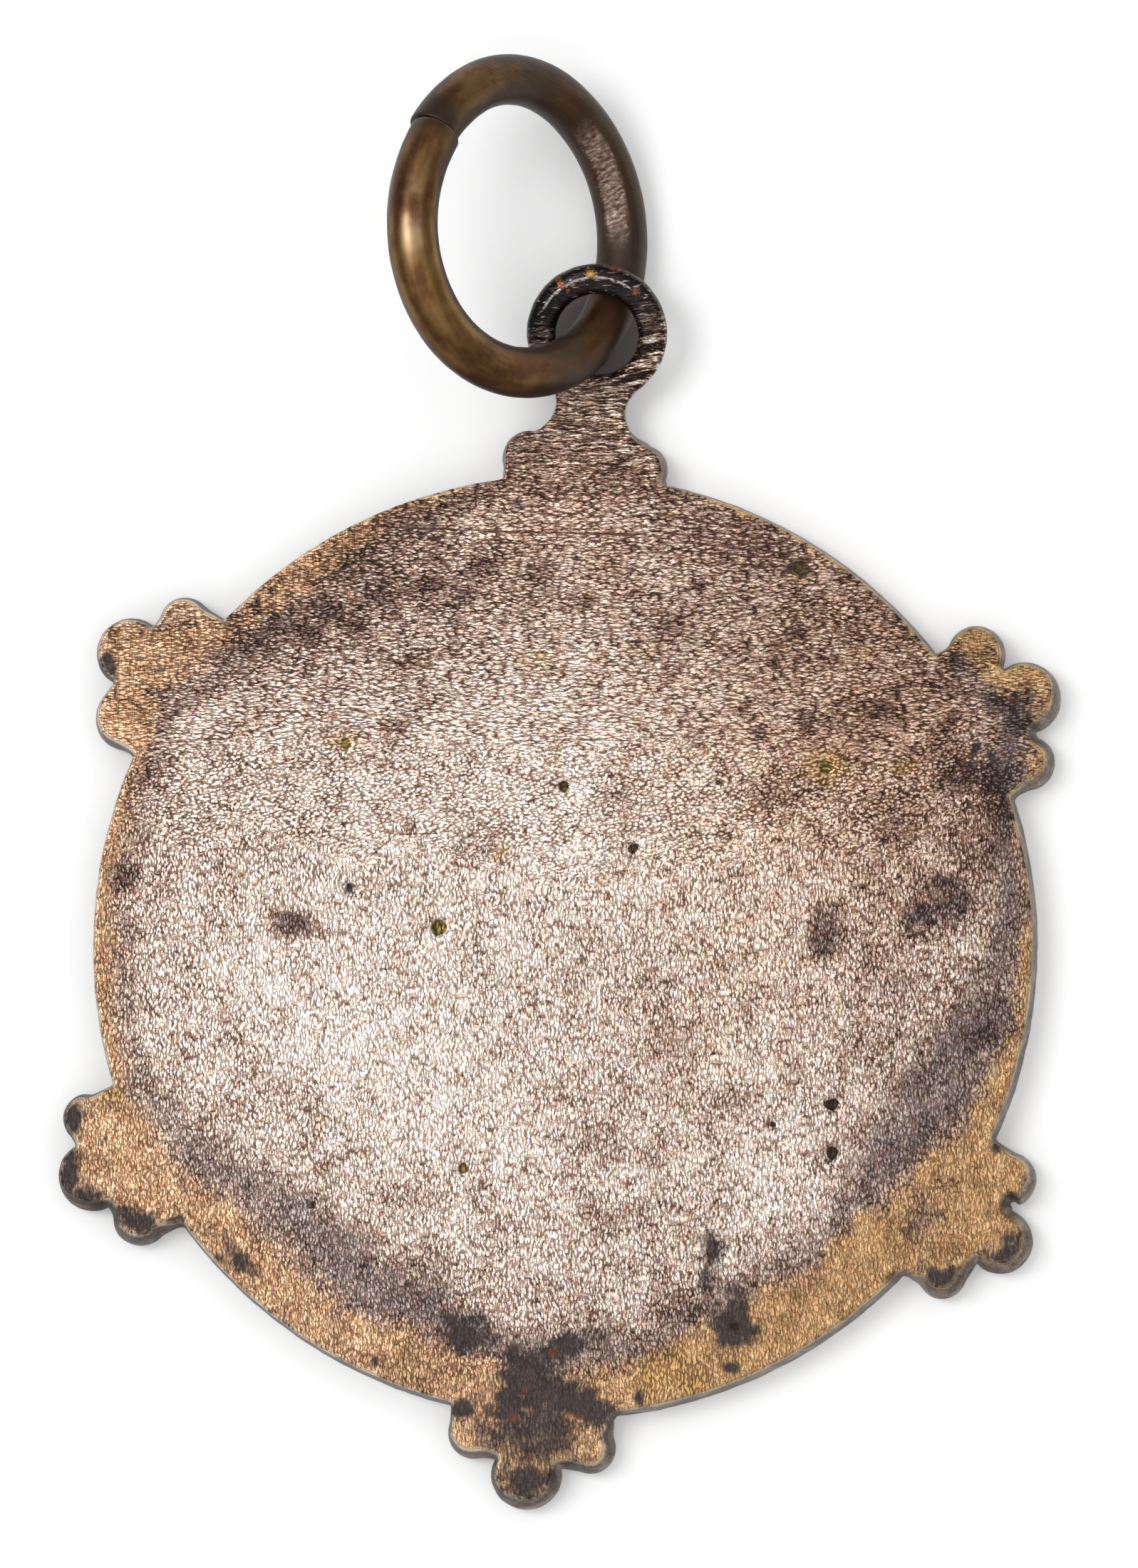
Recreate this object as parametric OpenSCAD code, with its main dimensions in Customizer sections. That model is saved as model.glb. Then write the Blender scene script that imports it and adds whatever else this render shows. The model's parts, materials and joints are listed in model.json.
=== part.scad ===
// A commemorative medal that lies face down, with a split wire ring through its eyelet.
// Millimetres. +Z comes out of the plain back face and +Y points along the lug to the eyelet.
// The origin is the disc's centre, on the plane that the front rim rests on.

/* [Disc] */
// Diameter of the round plate at its front edge
disc_d = 32; // [31:0.5:32]
// Thickness from the front rim to the back face
plate_t = 1.8; // [1.8:0.05:2.2]
// Width of the raised rim round the front
rim_w = 1.3; // [0.8:0.1:2]
// Depth of the plain front field below the rim
field_depth = 0.3; // [0.2:0.05:0.5]
// How far the side walls lean in between the front and the back
wall_lean = 0.14; // [0.05:0.01:0.2]
// Width of the small bevel on the rim's outer edge
rim_bevel = 0.2; // [0.1:0.05:0.3]

/* [Finials] */
// Height of the domed boss on the front of each lobe
boss_h = 0.35; // [0.2:0.05:0.4]
// Width of the flat round each boss
boss_margin = 0.2; // [0.2:0.05:0.3]
// Depth of the metal between the lobes below the front rim
web_depth = 0.45; // [0.3:0.05:0.6]
// Diameter of the corroded pit in one finial's notch
pit_d = 0.34; // [0.2:0.02:0.5]

/* [Lug] */
// Thickness of the neck and the eyelet
lug_t = 0.85; // [0.8:0.05:0.9]
// Distance along the lug from the disc's centre to the eyelet's centre
eyelet_reach = 20.8; // [20.7:0.01:20.9]
// Distance of the eyelet's centre to the right of the lug's middle line
eyelet_shift = 0.02; // [0:0.01:0.1]
// Outer diameter of the eyelet
eyelet_d = 4.76; // [4.6:0.02:4.9]
// Diameter of the hole in the eyelet
eyelet_hole_d = 3; // [3:0.02:3.1]
// Radius that rounds the eyelet's edges
eyelet_round = 0.3; // [0.25:0.01:0.35]
// Distance from the disc's centre to where the neck starts to bend up
bend_start = 17.9; // [17.8:0.05:18]
// Length of the bent stretch of the neck
bend_len = 0.9; // [0.8:0.05:1]
// Angle by which the eyelet is bent up out of the plate
bend_angle = 18; // [17:0.5:20]

/* [Ring] */
// Diameter of the ring's wire
wire_d = 1.72; // [1.6:0.02:1.74]
// Diameter of the ring on its wire's centre line
ring_d = 9.87; // [9.7:0.01:9.9]
// Angle by which the ring leans off the plate
ring_lean = 47.9; // [47:0.1:49]
// Turn of that lean round the upright, from +X towards +Y
ring_turn = 6.6; // [4:0.1:7]
// Distance of the ring's centre to the right of the eyelet's centre
ring_across = -2.72; // [-2.75:0.01:-2.65]
// Distance of the ring's centre from the eyelet's centre, away from the disc
ring_beyond = 3.21; // [3.15:0.01:3.25]
// Height of the ring's centre above the eyelet's centre
ring_above = 2.49; // [2.45:0.01:2.55]
// Where the ring is split, round its own axis from its highest side
split_at = -39.4; // [-60:0.2:-30]
// Width of the split between the wire's two ends
split_gap = 0.05; // [0.04:0.01:0.1]
// How far the two ends stand out of line, along the ring's axis
split_step = 0.14; // [0.05:0.01:0.2]

/* [Hidden] */
$fn = 96;
brass = "#8a7350";
aged_brass = "#5f4a2a";

disc_r = disc_d / 2;
wire_r = wire_d / 2;
ring_r = ring_d / 2;
eyelet_r = eyelet_d / 2;
eyelet_hole_r = eyelet_hole_d / 2;
lug_mid_z = plate_t - lug_t / 2;
bend_r = bend_len / (bend_angle * PI / 180);
bend_axis_z = lug_mid_z + bend_r;
// The finials' stems and the shoulders' web start this far inside the disc's edge
root_y = disc_r - 1.5;
// How far each boss is let into the metal behind it
boss_root = 0.1;
// The webs stop this far short of the lobes' middles
web_inset = 0.1;

// The five finials, each in its own frame with X to the right and Y outwards from the disc's centre.
// Columns: turn of the finial from +X, then [x, y, radius] of the middle, left and right lobes,
// then [left, right] sides of the stem, then [left, right] heights of the notches between the lobes
TURN = 0;
MIDDLE = 1;
LEFT = 2;
RIGHT = 3;
STEM = 4;
NOTCH = 5;
finials = [
    [30, [-0.42, 17.68, 1.25], [-2.47, 16.88, 1.02], [1.57, 16.78, 0.95], [-3.15, 2.45], [17.45, 17.4]],
    [-30, [0.27, 17.82, 1.13], [-1.63, 16.94, 0.95], [2.28, 16.8, 0.85], [-2.52, 3], [17.55, 17.5]],
    [-90, [0.2, 17.9, 1.23], [-1.89, 16.9, 0.9], [2.05, 16.6, 0.92], [-2.66, 2.9], [17.65, 17.35]],
    [-150, [0.2, 17.73, 1.22], [-1.8, 16.93, 0.97], [2.04, 17.06, 0.85], [-2.68, 2.68], [17.65, 17.75]],
    [150, [0.25, 17.73, 1.22], [-1.68, 16.62, 1.12], [2.1, 16.78, 0.9], [-2.65, 2.95], [17.65, 17.5]],
];
// The finial whose left notch is corroded, as its row in the table, and the pit's place in its frame
pitted = 1;
pit_x = -1;
pit_y = 17.5;

// The lug's two shoulders, as [x, y, radius], the sides of the block under them and its web's height
shoulder_left = [-2.1, 16.44, 0.97];
shoulder_right = [1.75, 16.25, 0.87];
shoulder_edge_left = -3;
shoulder_edge_right = 2.54;
shoulder_web = 16.95;
// The bar that becomes the neck, and the [x, y, radius] of the two hollows that waist it
neck_left = -1.95;
neck_right = 1.9;
neck_root = 16.6;
neck_end = 19;
hollow_left = [-2.29, 18.3, 1.04];
hollow_right = [2.11, 18.1, 1.03];
hollow_lean = 0.08;
// Facets along the neck's bend
bend_steps = 6;

// A round lobe whose wall leans in towards the back, with a domed boss on its front
module lobe(place) {
    r = place[2];
    boss_r = r - boss_margin;
    dome_r = (boss_r * boss_r + boss_h * boss_h) / (2 * boss_h);
    translate([place[0], place[1], web_depth])
        cylinder(h = plate_t - web_depth, r1 = r, r2 = r - wall_lean);
    translate([place[0], place[1], 0])
        rotate_extrude()
            intersection() {
                translate([0, web_depth - boss_h])
                    square([boss_r, boss_h + boss_root]);
                translate([0, web_depth - boss_h + dome_r])
                    circle(r = dome_r);
            }
}

// A straight-sided block whose left and right walls lean in towards the back
module leaning_block(left, right, near, far) {
    translate([0, far, 0])
        rotate([90, 0, 0])
            linear_extrude(far - near)
                polygon([
                    [left, web_depth],
                    [right, web_depth],
                    [right - wall_lean, plate_t],
                    [left + wall_lean, plate_t],
                ]);
}

// The metal between two outer lobes, as high as the notches beside them
module web(left, right, left_top, right_top) {
    translate([0, 0, web_depth])
        linear_extrude(plate_t - web_depth)
            polygon([
                [left + web_inset, root_y],
                [right - web_inset, root_y],
                [right - web_inset, right_top],
                [left + web_inset, left_top],
            ]);
}

module finial(row) {
    stem_top = min(row[LEFT][1], row[RIGHT][1]) - web_inset;
    lobe(row[MIDDLE]);
    lobe(row[LEFT]);
    lobe(row[RIGHT]);
    web(row[LEFT][0], row[RIGHT][0], row[NOTCH][0], row[NOTCH][1]);
    leaning_block(row[STEM][0], row[STEM][1], root_y, stem_top);
}

// Turns a finial's own frame to its place round the disc
module at_turn(turn) {
    rotate([0, 0, turn - 90]) children();
}

module disc() {
    rotate_extrude($fn = 180)
        polygon([
            [0, field_depth],
            [disc_r - rim_w, field_depth],
            [disc_r - rim_w + field_depth, 0],
            [disc_r - rim_bevel, 0],
            [disc_r, rim_bevel],
            [disc_r - wall_lean, plate_t],
            [0, plate_t],
        ]);
}

// Carries what is drawn flat, past the end of the bend, to where the bend leaves it
module past_bend() {
    translate([0, bend_start, bend_axis_z])
        rotate([bend_angle, 0, 0])
            translate([0, -bend_start - bend_len, -bend_axis_z])
                children();
}

// The same to the middle of the bend, where the neck is narrowest
module mid_bend() {
    translate([0, bend_start, bend_axis_z])
        rotate([bend_angle / 2, 0, 0])
            translate([0, -bend_start - bend_len / 2, -bend_axis_z])
                children();
}

// A point of the neck's side view, at a share of the bend and an offset from its middle line
function bent(share, offset) = [
    bend_start + (bend_r - offset) * sin(share * bend_angle),
    bend_axis_z - (bend_r - offset) * cos(share * bend_angle),
];

// A point of the same view past the bend, at a distance along the lug
function past(along, offset) =
    bent(1, offset) + (along - bend_start - bend_len) * [cos(bend_angle), sin(bend_angle)];

// The neck before it is waisted: its side view, drawn across its width
module neck_bar() {
    shares = [for (i = [0:bend_steps]) i / bend_steps];
    half = lug_t / 2;
    translate([neck_left, 0, 0])
        rotate([90, 0, 90])
            linear_extrude(neck_right - neck_left)
                polygon(concat(
                    [[neck_root, lug_mid_z + half], [neck_root, lug_mid_z - half]],
                    [for (share = shares) bent(share, -half)],
                    [past(neck_end, -half), past(neck_end, half)],
                    [for (share = shares) bent(1 - share, half)]
                ));
}

// A hollow beside the neck, narrower towards the front
module hollow(place) {
    mid_bend()
        translate([place[0], place[1], lug_mid_z - lug_t])
            cylinder(h = 2 * lug_t, r1 = place[2] - hollow_lean, r2 = place[2] + hollow_lean);
}

module eyelet() {
    past_bend()
        translate([eyelet_shift, eyelet_reach, plate_t - lug_t])
            rotate_extrude()
                translate([eyelet_hole_r, 0])
                    rounded_section(eyelet_r - eyelet_hole_r, lug_t, eyelet_round);
}

module rounded_section(w, h, r) {
    translate([r, 0]) square([w - 2 * r, h]);
    translate([0, r]) square([w, h - 2 * r]);
    for (x = [r, w - r], y = [r, h - r])
        translate([x, y]) circle(r = r, $fn = 48);
}

module lug() {
    lobe(shoulder_left);
    lobe(shoulder_right);
    leaning_block(shoulder_edge_left, shoulder_edge_right, root_y, shoulder_right[1] - web_inset);
    web(shoulder_left[0], shoulder_right[0], shoulder_web, shoulder_web);
    difference() {
        neck_bar();
        hollow(hollow_left);
        hollow(hollow_right);
    }
    eyelet();
}

module medal_body() {
    color(brass)
        difference() {
            union() {
                disc();
                for (row = finials)
                    at_turn(row[TURN]) finial(row);
                lug();
            }
            at_turn(finials[pitted][TURN])
                translate([pit_x, pit_y, plate_t / 2])
                    cylinder(h = plate_t, d = pit_d);
        }
}

// Half of the ring, from the wire's section opposite the split to the split
module ring_half(angle) {
    rotate_extrude(angle = angle)
        translate([ring_r, 0])
            circle(r = wire_r, $fn = 48);
}

module suspension_ring() {
    eyelet_at = past(eyelet_reach, 0);
    half_gap = split_gap / 2 / ring_r * 180 / PI;
    // One half is tipped about the tangent where the halves meet, so that its end stands out of line
    tip = asin(split_step / ring_d);
    color(aged_brass)
        translate([eyelet_shift + ring_across, eyelet_at[0] + ring_beyond, eyelet_at[1] + ring_above])
            rotate([0, 0, ring_turn])
                rotate([0, ring_lean, 0])
                    rotate([0, 0, split_at])
                        union() {
                            ring_half(180 - half_gap);
                            translate([ring_r, 0, 0])
                                rotate([0, -tip, 0])
                                    translate([-ring_r, 0, 0])
                                        ring_half(-180 + half_gap);
                        }
}

medal_body();
suspension_ring();
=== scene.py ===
"""A worn commemorative medal that lies face down, with a split wire ring linked through its eyelet.

Places and sizes are in millimetres in the medal's own frame: +Z out of the plain back, +Y along the lug, and
the origin at the disc's centre on the table. A mesh is turned into metres when it is made.
"""

import json
import math

import bpy
import numpy as np
from mathutils import Matrix, Vector
from mathutils.geometry import delaunay_2d_cdt

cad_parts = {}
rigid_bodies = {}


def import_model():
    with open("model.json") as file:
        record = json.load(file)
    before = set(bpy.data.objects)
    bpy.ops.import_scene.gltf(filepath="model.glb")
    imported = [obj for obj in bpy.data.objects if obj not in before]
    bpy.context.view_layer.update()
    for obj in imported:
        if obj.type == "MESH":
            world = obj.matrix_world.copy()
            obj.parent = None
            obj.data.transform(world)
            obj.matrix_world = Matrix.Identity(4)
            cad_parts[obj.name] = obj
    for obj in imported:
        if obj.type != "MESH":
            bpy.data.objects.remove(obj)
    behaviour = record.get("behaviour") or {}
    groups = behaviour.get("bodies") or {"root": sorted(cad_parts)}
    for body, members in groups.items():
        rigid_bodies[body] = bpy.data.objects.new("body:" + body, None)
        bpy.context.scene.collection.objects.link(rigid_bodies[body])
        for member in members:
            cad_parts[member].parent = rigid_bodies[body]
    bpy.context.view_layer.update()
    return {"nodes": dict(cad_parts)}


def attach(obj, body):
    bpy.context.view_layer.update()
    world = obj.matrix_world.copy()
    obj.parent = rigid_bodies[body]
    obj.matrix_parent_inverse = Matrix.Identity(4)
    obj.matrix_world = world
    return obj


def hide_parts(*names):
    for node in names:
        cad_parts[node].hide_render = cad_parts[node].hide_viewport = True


for leftover in list(bpy.data.objects):
    bpy.data.objects.remove(leftover)
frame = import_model()

MM = 0.001

# The photograph: its size, its scale on the table, and the disc's centre, in pixels
PHOTO_W = 1597
PHOTO_H = 2201
PX_PER_MM = 41.4
DISC_PX = (792.3, 1328.3)
# The medal lies turned clockwise by this, and the camera leans towards the picture's right and its bottom
MEDAL_TURN = math.radians(3.35)
LEAN_RIGHT = math.radians(3.3)
LEAN_DOWN = math.radians(3.5)
EYE_DISTANCE = 400.0

# The medal, as the source of its solids gives it
PLATE_T = 1.8
DISC_R = 16.0
RIM_W = 1.3
FIELD_DEPTH = 0.3
WEB_DEPTH = 0.45
BOSS_H = 0.35
BOSS_MARGIN = 0.2
LUG_T = 0.85
LUG_MID = PLATE_T - LUG_T / 2
BEND_START = 17.9
BEND_LEN = 0.9
BEND_ANGLE = math.radians(18)
BEND_AXIS = LUG_MID + BEND_LEN / BEND_ANGLE
EYELET = (0.02, 20.8)

# The ring of wire
WIRE_R = 0.86
RING_R = 4.935
RING_CENTRE = (-2.7, 23.897, 4.623)
RING_LEAN = math.radians(47.9)
RING_TURN = math.radians(6.6)
SPLIT_AT = math.radians(-39.4)
SPLIT_GAP = 0.05
SPLIT_STEP = 0.14
RING_HALF = 180 - math.degrees(SPLIT_GAP / 2 / RING_R)


# Where the camera stands, and where a pixel of the photograph falls

right = np.array([math.cos(MEDAL_TURN), math.sin(MEDAL_TURN), 0.0])
up = np.array([-math.sin(MEDAL_TURN), math.cos(MEDAL_TURN), 0.0])
towards_eye = np.array([0, 0, 1.0]) + math.tan(LEAN_RIGHT) * right - math.tan(LEAN_DOWN) * up
towards_eye /= np.linalg.norm(towards_eye)
screen_right = np.cross(up, towards_eye)
screen_right /= np.linalg.norm(screen_right)
screen_up = np.cross(towards_eye, screen_right)
middle = (PHOTO_W / 2 - DISC_PX[0]) / PX_PER_MM * right + (DISC_PX[1] - PHOTO_H / 2) / PX_PER_MM * up
eye = middle + EYE_DISTANCE * towards_eye


def seen(px, py, height=PLATE_T):
    """The places (x, y) at a height that the camera shows at pixels of the photograph.

    A ray leaves the eye through each pixel and is followed down to the height.
    """
    px, py = np.asarray(px, float), np.asarray(py, float)
    ray = (
        -EYE_DISTANCE * towards_eye
        + ((px - PHOTO_W / 2) / PX_PER_MM)[..., None] * screen_right
        + ((PHOTO_H / 2 - py) / PX_PER_MM)[..., None] * screen_up
    )
    along = (height - eye[2]) / ray[..., 2]
    return (eye + along[..., None] * ray)[..., :2]


# Small array helpers


def ease(low, high, value):
    """0 below low, 1 above high, and a smooth S between them."""
    share = np.clip((value - low) / (high - low), 0, 1)
    return share * share * (3 - 2 * share)


def swell(points, size, seed):
    """Smooth noise, about -1 to 1, whose bumps are about size across.

    Every corner of a lattice has a random slope. A point blends what the corners round it give, by the
    quintic curve.
    """
    random = np.random.default_rng(seed)
    order = np.tile(random.permutation(256), 2)
    slopes = random.normal(size=(256, 3))
    slopes /= np.linalg.norm(slopes, axis=1, keepdims=True)
    points = np.asarray(points, float) / size
    if points.shape[-1] == 2:
        points = np.concatenate([points, np.zeros(points.shape[:-1] + (1,))], -1)
    cell = np.floor(points).astype(int)
    part = points - cell
    blend = part**3 * (part * (part * 6 - 15) + 10)
    total = np.zeros(points.shape[:-1])
    for corner in np.ndindex(2, 2, 2):
        a, b, c = np.moveaxis((cell + corner) & 255, -1, 0)
        slope = slopes[order[order[order[a] + b] + c]]
        weight = np.prod(np.where(corner, blend, 1 - blend), axis=-1)
        total += weight * np.sum(slope * (part - corner), axis=-1)
    return total * 1.7


def rough(points, size, seed, layers=3):
    """Layers of swell, each half as large and half as strong as the one before."""
    return sum(swell(points, size / 2**k, seed + 31 * k) / 2**k for k in range(layers)) / 1.4


def nearest(points, loop):
    """For each point, the index of the loop's nearest point and the distance to it, worked out in blocks."""
    found, far = [], []
    for block in np.array_split(points, max(1, len(points) // 3000)):
        gaps = np.linalg.norm(block[:, None] - loop[None], axis=2)
        found.append(gaps.argmin(axis=1))
        far.append(gaps.min(axis=1))
    return np.concatenate(found), np.concatenate(far)


# Closed outlines


def even(loop, spacing, blur):
    """A closed loop with even steps of about spacing, smoothed over the length blur.

    The loop is laid out by its length, turned into waves, and each wave is faded by a bell curve of its
    wavelength.
    """
    step = np.linalg.norm(np.roll(loop, -1, 0) - loop, axis=1)
    length = step.sum()
    count = int(round(length / spacing))
    place = np.concatenate([[0], np.cumsum(step)])
    wanted = np.arange(count) * length / count
    closed = np.vstack([loop, loop[:1]])
    line = np.interp(wanted, place, closed[:, 0]) + 1j * np.interp(wanted, place, closed[:, 1])
    return fade(line, blur * count / length)


def fade(line, blur):
    """Periodic complex points smoothed by a bell curve, blur points wide, as an array of (x, y)."""
    turns = np.fft.fftfreq(len(line))
    line = np.fft.ifft(np.fft.fft(line) * np.exp(-2 * (math.pi * turns * blur) ** 2))
    return np.column_stack([line.real, line.imag])


def outward(loop, blur):
    """Unit vectors square to a loop and away from what it holds on its left, smoothed over blur points."""
    ahead = np.roll(loop, -1, 0) - np.roll(loop, 1, 0)
    away = (ahead[:, 1] - 1j * ahead[:, 0]) / np.linalg.norm(ahead, axis=1)
    away = fade(away, blur)
    return away / np.linalg.norm(away, axis=1, keepdims=True)


def node_corners(name):
    """A solid's triangles, as corners in millimetres."""
    mesh = frame["nodes"][name].data
    mesh.calc_loop_triangles()
    places = np.empty(3 * len(mesh.vertices))
    corners = np.empty(3 * len(mesh.loop_triangles), int)
    mesh.vertices.foreach_get("co", places)
    mesh.loop_triangles.foreach_get("vertices", corners)
    return places.reshape(-1, 3)[corners].reshape(-1, 3, 3) / MM


def bend(points):
    """Carries flat points past the start of the lug's bend to where the bend leaves them.

    Over the bend's length a point turns round an axis above the plate, and past it the lug goes on straight.
    """
    x, y, z = np.moveaxis(points, -1, 0)
    turn = BEND_ANGLE * np.clip((y - BEND_START) / BEND_LEN, 0, 1)
    rest = np.maximum(y - BEND_START - BEND_LEN, 0)
    arm = BEND_AXIS - z
    bent_y = BEND_START + arm * np.sin(turn) + rest * np.cos(turn)
    bent_z = BEND_AXIS - arm * np.cos(turn) + rest * np.sin(turn)
    past = y > BEND_START
    return np.stack([x, np.where(past, bent_y, y), np.where(past, bent_z, z)], -1)


def unbend(points):
    """The flat places of bent points: the way back from bend."""
    x, y, z = np.moveaxis(points, -1, 0)
    across, down = y - BEND_START, BEND_AXIS - z
    turn = np.arctan2(across, down)
    in_bend = BEND_START + BEND_LEN * turn / BEND_ANGLE
    beyond = BEND_START + BEND_LEN + across * math.cos(BEND_ANGLE) - down * math.sin(BEND_ANGLE)
    square = BEND_AXIS - (across * math.sin(BEND_ANGLE) + down * math.cos(BEND_ANGLE))
    is_bent, is_past = across > 0, turn > BEND_ANGLE
    flat_y = np.where(is_past, beyond, np.where(is_bent, in_bend, y))
    flat_z = np.where(is_past, square, np.where(is_bent, BEND_AXIS - np.hypot(across, down), z))
    return np.stack([x, flat_y, flat_z], -1)


def slice_loops(corners, height):
    """The closed outlines in which triangles cross a height, the longest first.

    A triangle that crosses it gives a step from its falling edge to its rising one, and each step is
    followed by the one that starts where it ends.
    """
    after = np.roll(corners, -1, axis=1)
    above, above_after = corners[..., 2] > height, after[..., 2] > height
    falls, rises = above & ~above_after, ~above & above_after
    crossing = falls.any(axis=1)
    share = (height - corners[..., 2]) / np.where(falls | rises, after[..., 2] - corners[..., 2], 1)
    points = (corners + share[..., None] * (after - corners))[..., :2]
    starts, ends = points[crossing][falls[crossing]], points[crossing][rises[crossing]]
    follows, _ = nearest(ends, starts)
    left, loops = set(range(len(starts))), []
    while left:
        at, order = min(left), []
        while at in left:
            left.remove(at)
            order.append(at)
            at = int(follows[at])
        loops.append(starts[order])
    return sorted(loops, key=len, reverse=True)


def turning(loop):
    """The area a loop holds, positive if it runs anticlockwise."""
    after = np.roll(loop, -1, 0)
    return 0.5 * np.sum(loop[:, 0] * after[:, 1] - loop[:, 1] * after[:, 0])


# Meshes


def add_piece(name, places, faces, marks, material, slot, *nodes):
    """Makes a smooth mesh from places in millimetres and lets it stand for some of the solids."""
    mesh = bpy.data.meshes.new(name)
    mesh.from_pydata((places * MM).tolist(), [], faces)
    mesh.validate()
    mesh.shade_smooth()
    for key, values in marks.items():
        kind = "FLOAT" if values.ndim == 1 else "FLOAT_VECTOR"
        field = "value" if values.ndim == 1 else "vector"
        mesh.attributes.new(key, kind, "POINT").data.foreach_set(field, values.astype(np.float32).ravel())
    mesh.materials.append(material)
    piece = bpy.data.objects.new(name, mesh)
    bpy.context.scene.collection.objects.link(piece)
    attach(piece, "root")
    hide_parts(*nodes)
    return piece


def band(start, rows, count, closed=True):
    """Quads between rows of count points, numbered from start, with each row joined to the next."""
    grid = start + np.arange(rows * count).reshape(rows, count)
    beside = np.roll(grid, -1, axis=1)
    quads = np.stack([grid[:-1], beside[:-1], beside[1:], grid[1:]], axis=-1)
    return (quads if closed else quads[:, :-1]).reshape(-1, 4)


def fill(loops, inner):
    """Triangles over the flat region that loops bound, through the loops' points and then the inner ones.

    A triangle with all its corners on the second loop lies in the hole, and is left out.
    """
    points = np.vstack([*loops, inner])
    edges, start = [], 0
    for loop in loops:
        index = start + np.arange(len(loop))
        edges += np.column_stack([index, np.roll(index, -1)]).tolist()
        start += len(loop)
    got = delaunay_2d_cdt([Vector(p) for p in points.tolist()], edges, [], 1, 1e-7)
    source = np.array([origin[0] for origin in got[3]])
    faces = source[np.array(got[2])]
    in_hole = (faces >= len(loops[0])) & (faces < start)
    return faces[~in_hole.all(axis=1)]


def honeycomb(low, high, spacing):
    """Points of a hexagonal grid between two corners."""
    rows = np.arange(low[1], high[1], spacing * math.sqrt(0.75))
    columns = np.arange(low[0], high[0], spacing)
    x, y = np.meshgrid(columns, rows)
    x = x + np.where(np.arange(len(rows)) % 2, spacing / 2, 0)[:, None]
    return np.column_stack([x.ravel(), y.ravel()])


# The medal's shape

# How far apart points lie: along an outline, on the back, on the front's field and on its rim and lobes
LOOP_STEP = 0.12
BACK_STEP = 0.145
FIELD_STEP = 0.3
RELIEF_STEP = 0.16
# How far the outlines are smoothed, and how far inner points keep off them
LOOP_BLUR = 0.07
KEEP_OFF = 0.09
# The eyelet's hole as it shows: its share of the solid's hole, and how far it lies below it
HOLE_SHARE = 0.94
HOLE_LOWERED = 0.04
HOLE_ROUND = 0.28
# How far the wall leans out for each millimetre down, and how far its corners at the front are rounded
WALL_LEAN = 0.1
PLATE_FOOT = 0.15
LUG_FOOT = 0.42


def outlines():
    """The medal's outer outline and its eyelet's hole, with the lug flattened, half way up the lug."""
    loops = slice_loops(unbend(node_corners("medal_body")), LUG_MID)
    outer, hole = [even(loop, LOOP_STEP, LOOP_BLUR) for loop in loops[:2]]
    outer = outer if turning(outer) > 0 else outer[::-1]
    hole = hole if turning(hole) < 0 else hole[::-1]
    centre = np.array([EYELET[0], EYELET[1] - HOLE_LOWERED])
    return outer, centre + (hole - EYELET) * HOLE_SHARE


def on_lug(points):
    """1 on the neck and the eyelet, 0 on the plate."""
    return ease(17.15, 17.5, points[:, 1])


def front_edge(points):
    """The front's height at the outline: the rim, the finials' undersides or the lug's."""
    off_disc = ease(DISC_R, DISC_R + 0.12, np.linalg.norm(points, axis=1))
    finial = WEB_DEPTH * off_disc
    return finial + (PLATE_T - LUG_T - finial) * on_lug(points)


def wall(loop, roundness, top_inset):
    """Rows from the back face's edge over a rounded corner, down the wall and round to the front's edge.

    A row is the loop moved inwards by an inset at a height. The corners are quarter circles, and the wall
    leans out towards the front.
    """
    away = outward(loop, 2.5)
    low = front_edge(loop)
    slope = WALL_LEAN * (1 - on_lug(loop))
    lumps = 0.02 * rough(loop, 0.9, 5) + 0.012 * rough(loop, 0.3, 6)
    rows = []
    for turn in np.radians([0, 18, 36, 54, 72, 90]):
        drop = roundness * (1 - math.cos(turn))
        inset = roundness * (1 - math.sin(turn)) + top_inset
        rows.append((inset + (PLATE_T - drop - LUG_MID) * slope, PLATE_T - drop))
    foot = PLATE_FOOT + (LUG_FOOT - PLATE_FOOT) * on_lug(loop)
    for share in (0.2, 0.4, 0.6, 0.8):
        height = (PLATE_T - roundness) * (1 - share) + (low + foot) * share
        rows.append(((height - LUG_MID) * slope + top_inset * (1 - share) ** 2, height))
    for turn in np.radians([0, 30, 60, 90]):
        height = low + foot * (1 - math.sin(turn))
        rows.append(((height - LUG_MID) * slope + foot * (1 - math.cos(turn)), height))
    # The lumps are at their full size below the rounded edge
    placed = [
        np.column_stack([loop - away * (inset + lumps * (0.4 + 0.6 * (k > 4)))[:, None], height])
        for k, (inset, height) in enumerate(rows)
    ]
    return np.array(placed)


# Past this far in from the disc's rim, no other part of the outline is nearer than the rim
DEEP = 1.2


def edge_distance(points, outer):
    """How far points are from the outline. Well inside the disc that is how far the disc's rim is."""
    far = DISC_R - np.linalg.norm(points, axis=1)
    near_rim = far < DEEP
    far[near_rim] = nearest(points[near_rim], outer)[1]
    return far


def keep_inside(points, outer, hole, gap):
    """The points that lie inside the outer loop and outside the hole, at least gap from both."""
    deep = np.linalg.norm(points, axis=1) < DISC_R - DEEP
    kept = points[~deep]
    for loop in (outer, hole):
        index, far = nearest(kept, loop)
        side = np.sum((kept - loop[index]) * outward(loop, 1)[index], axis=1)
        kept = kept[(side < 0) & (far > gap)]
    return np.vstack([points[deep], kept])


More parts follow.
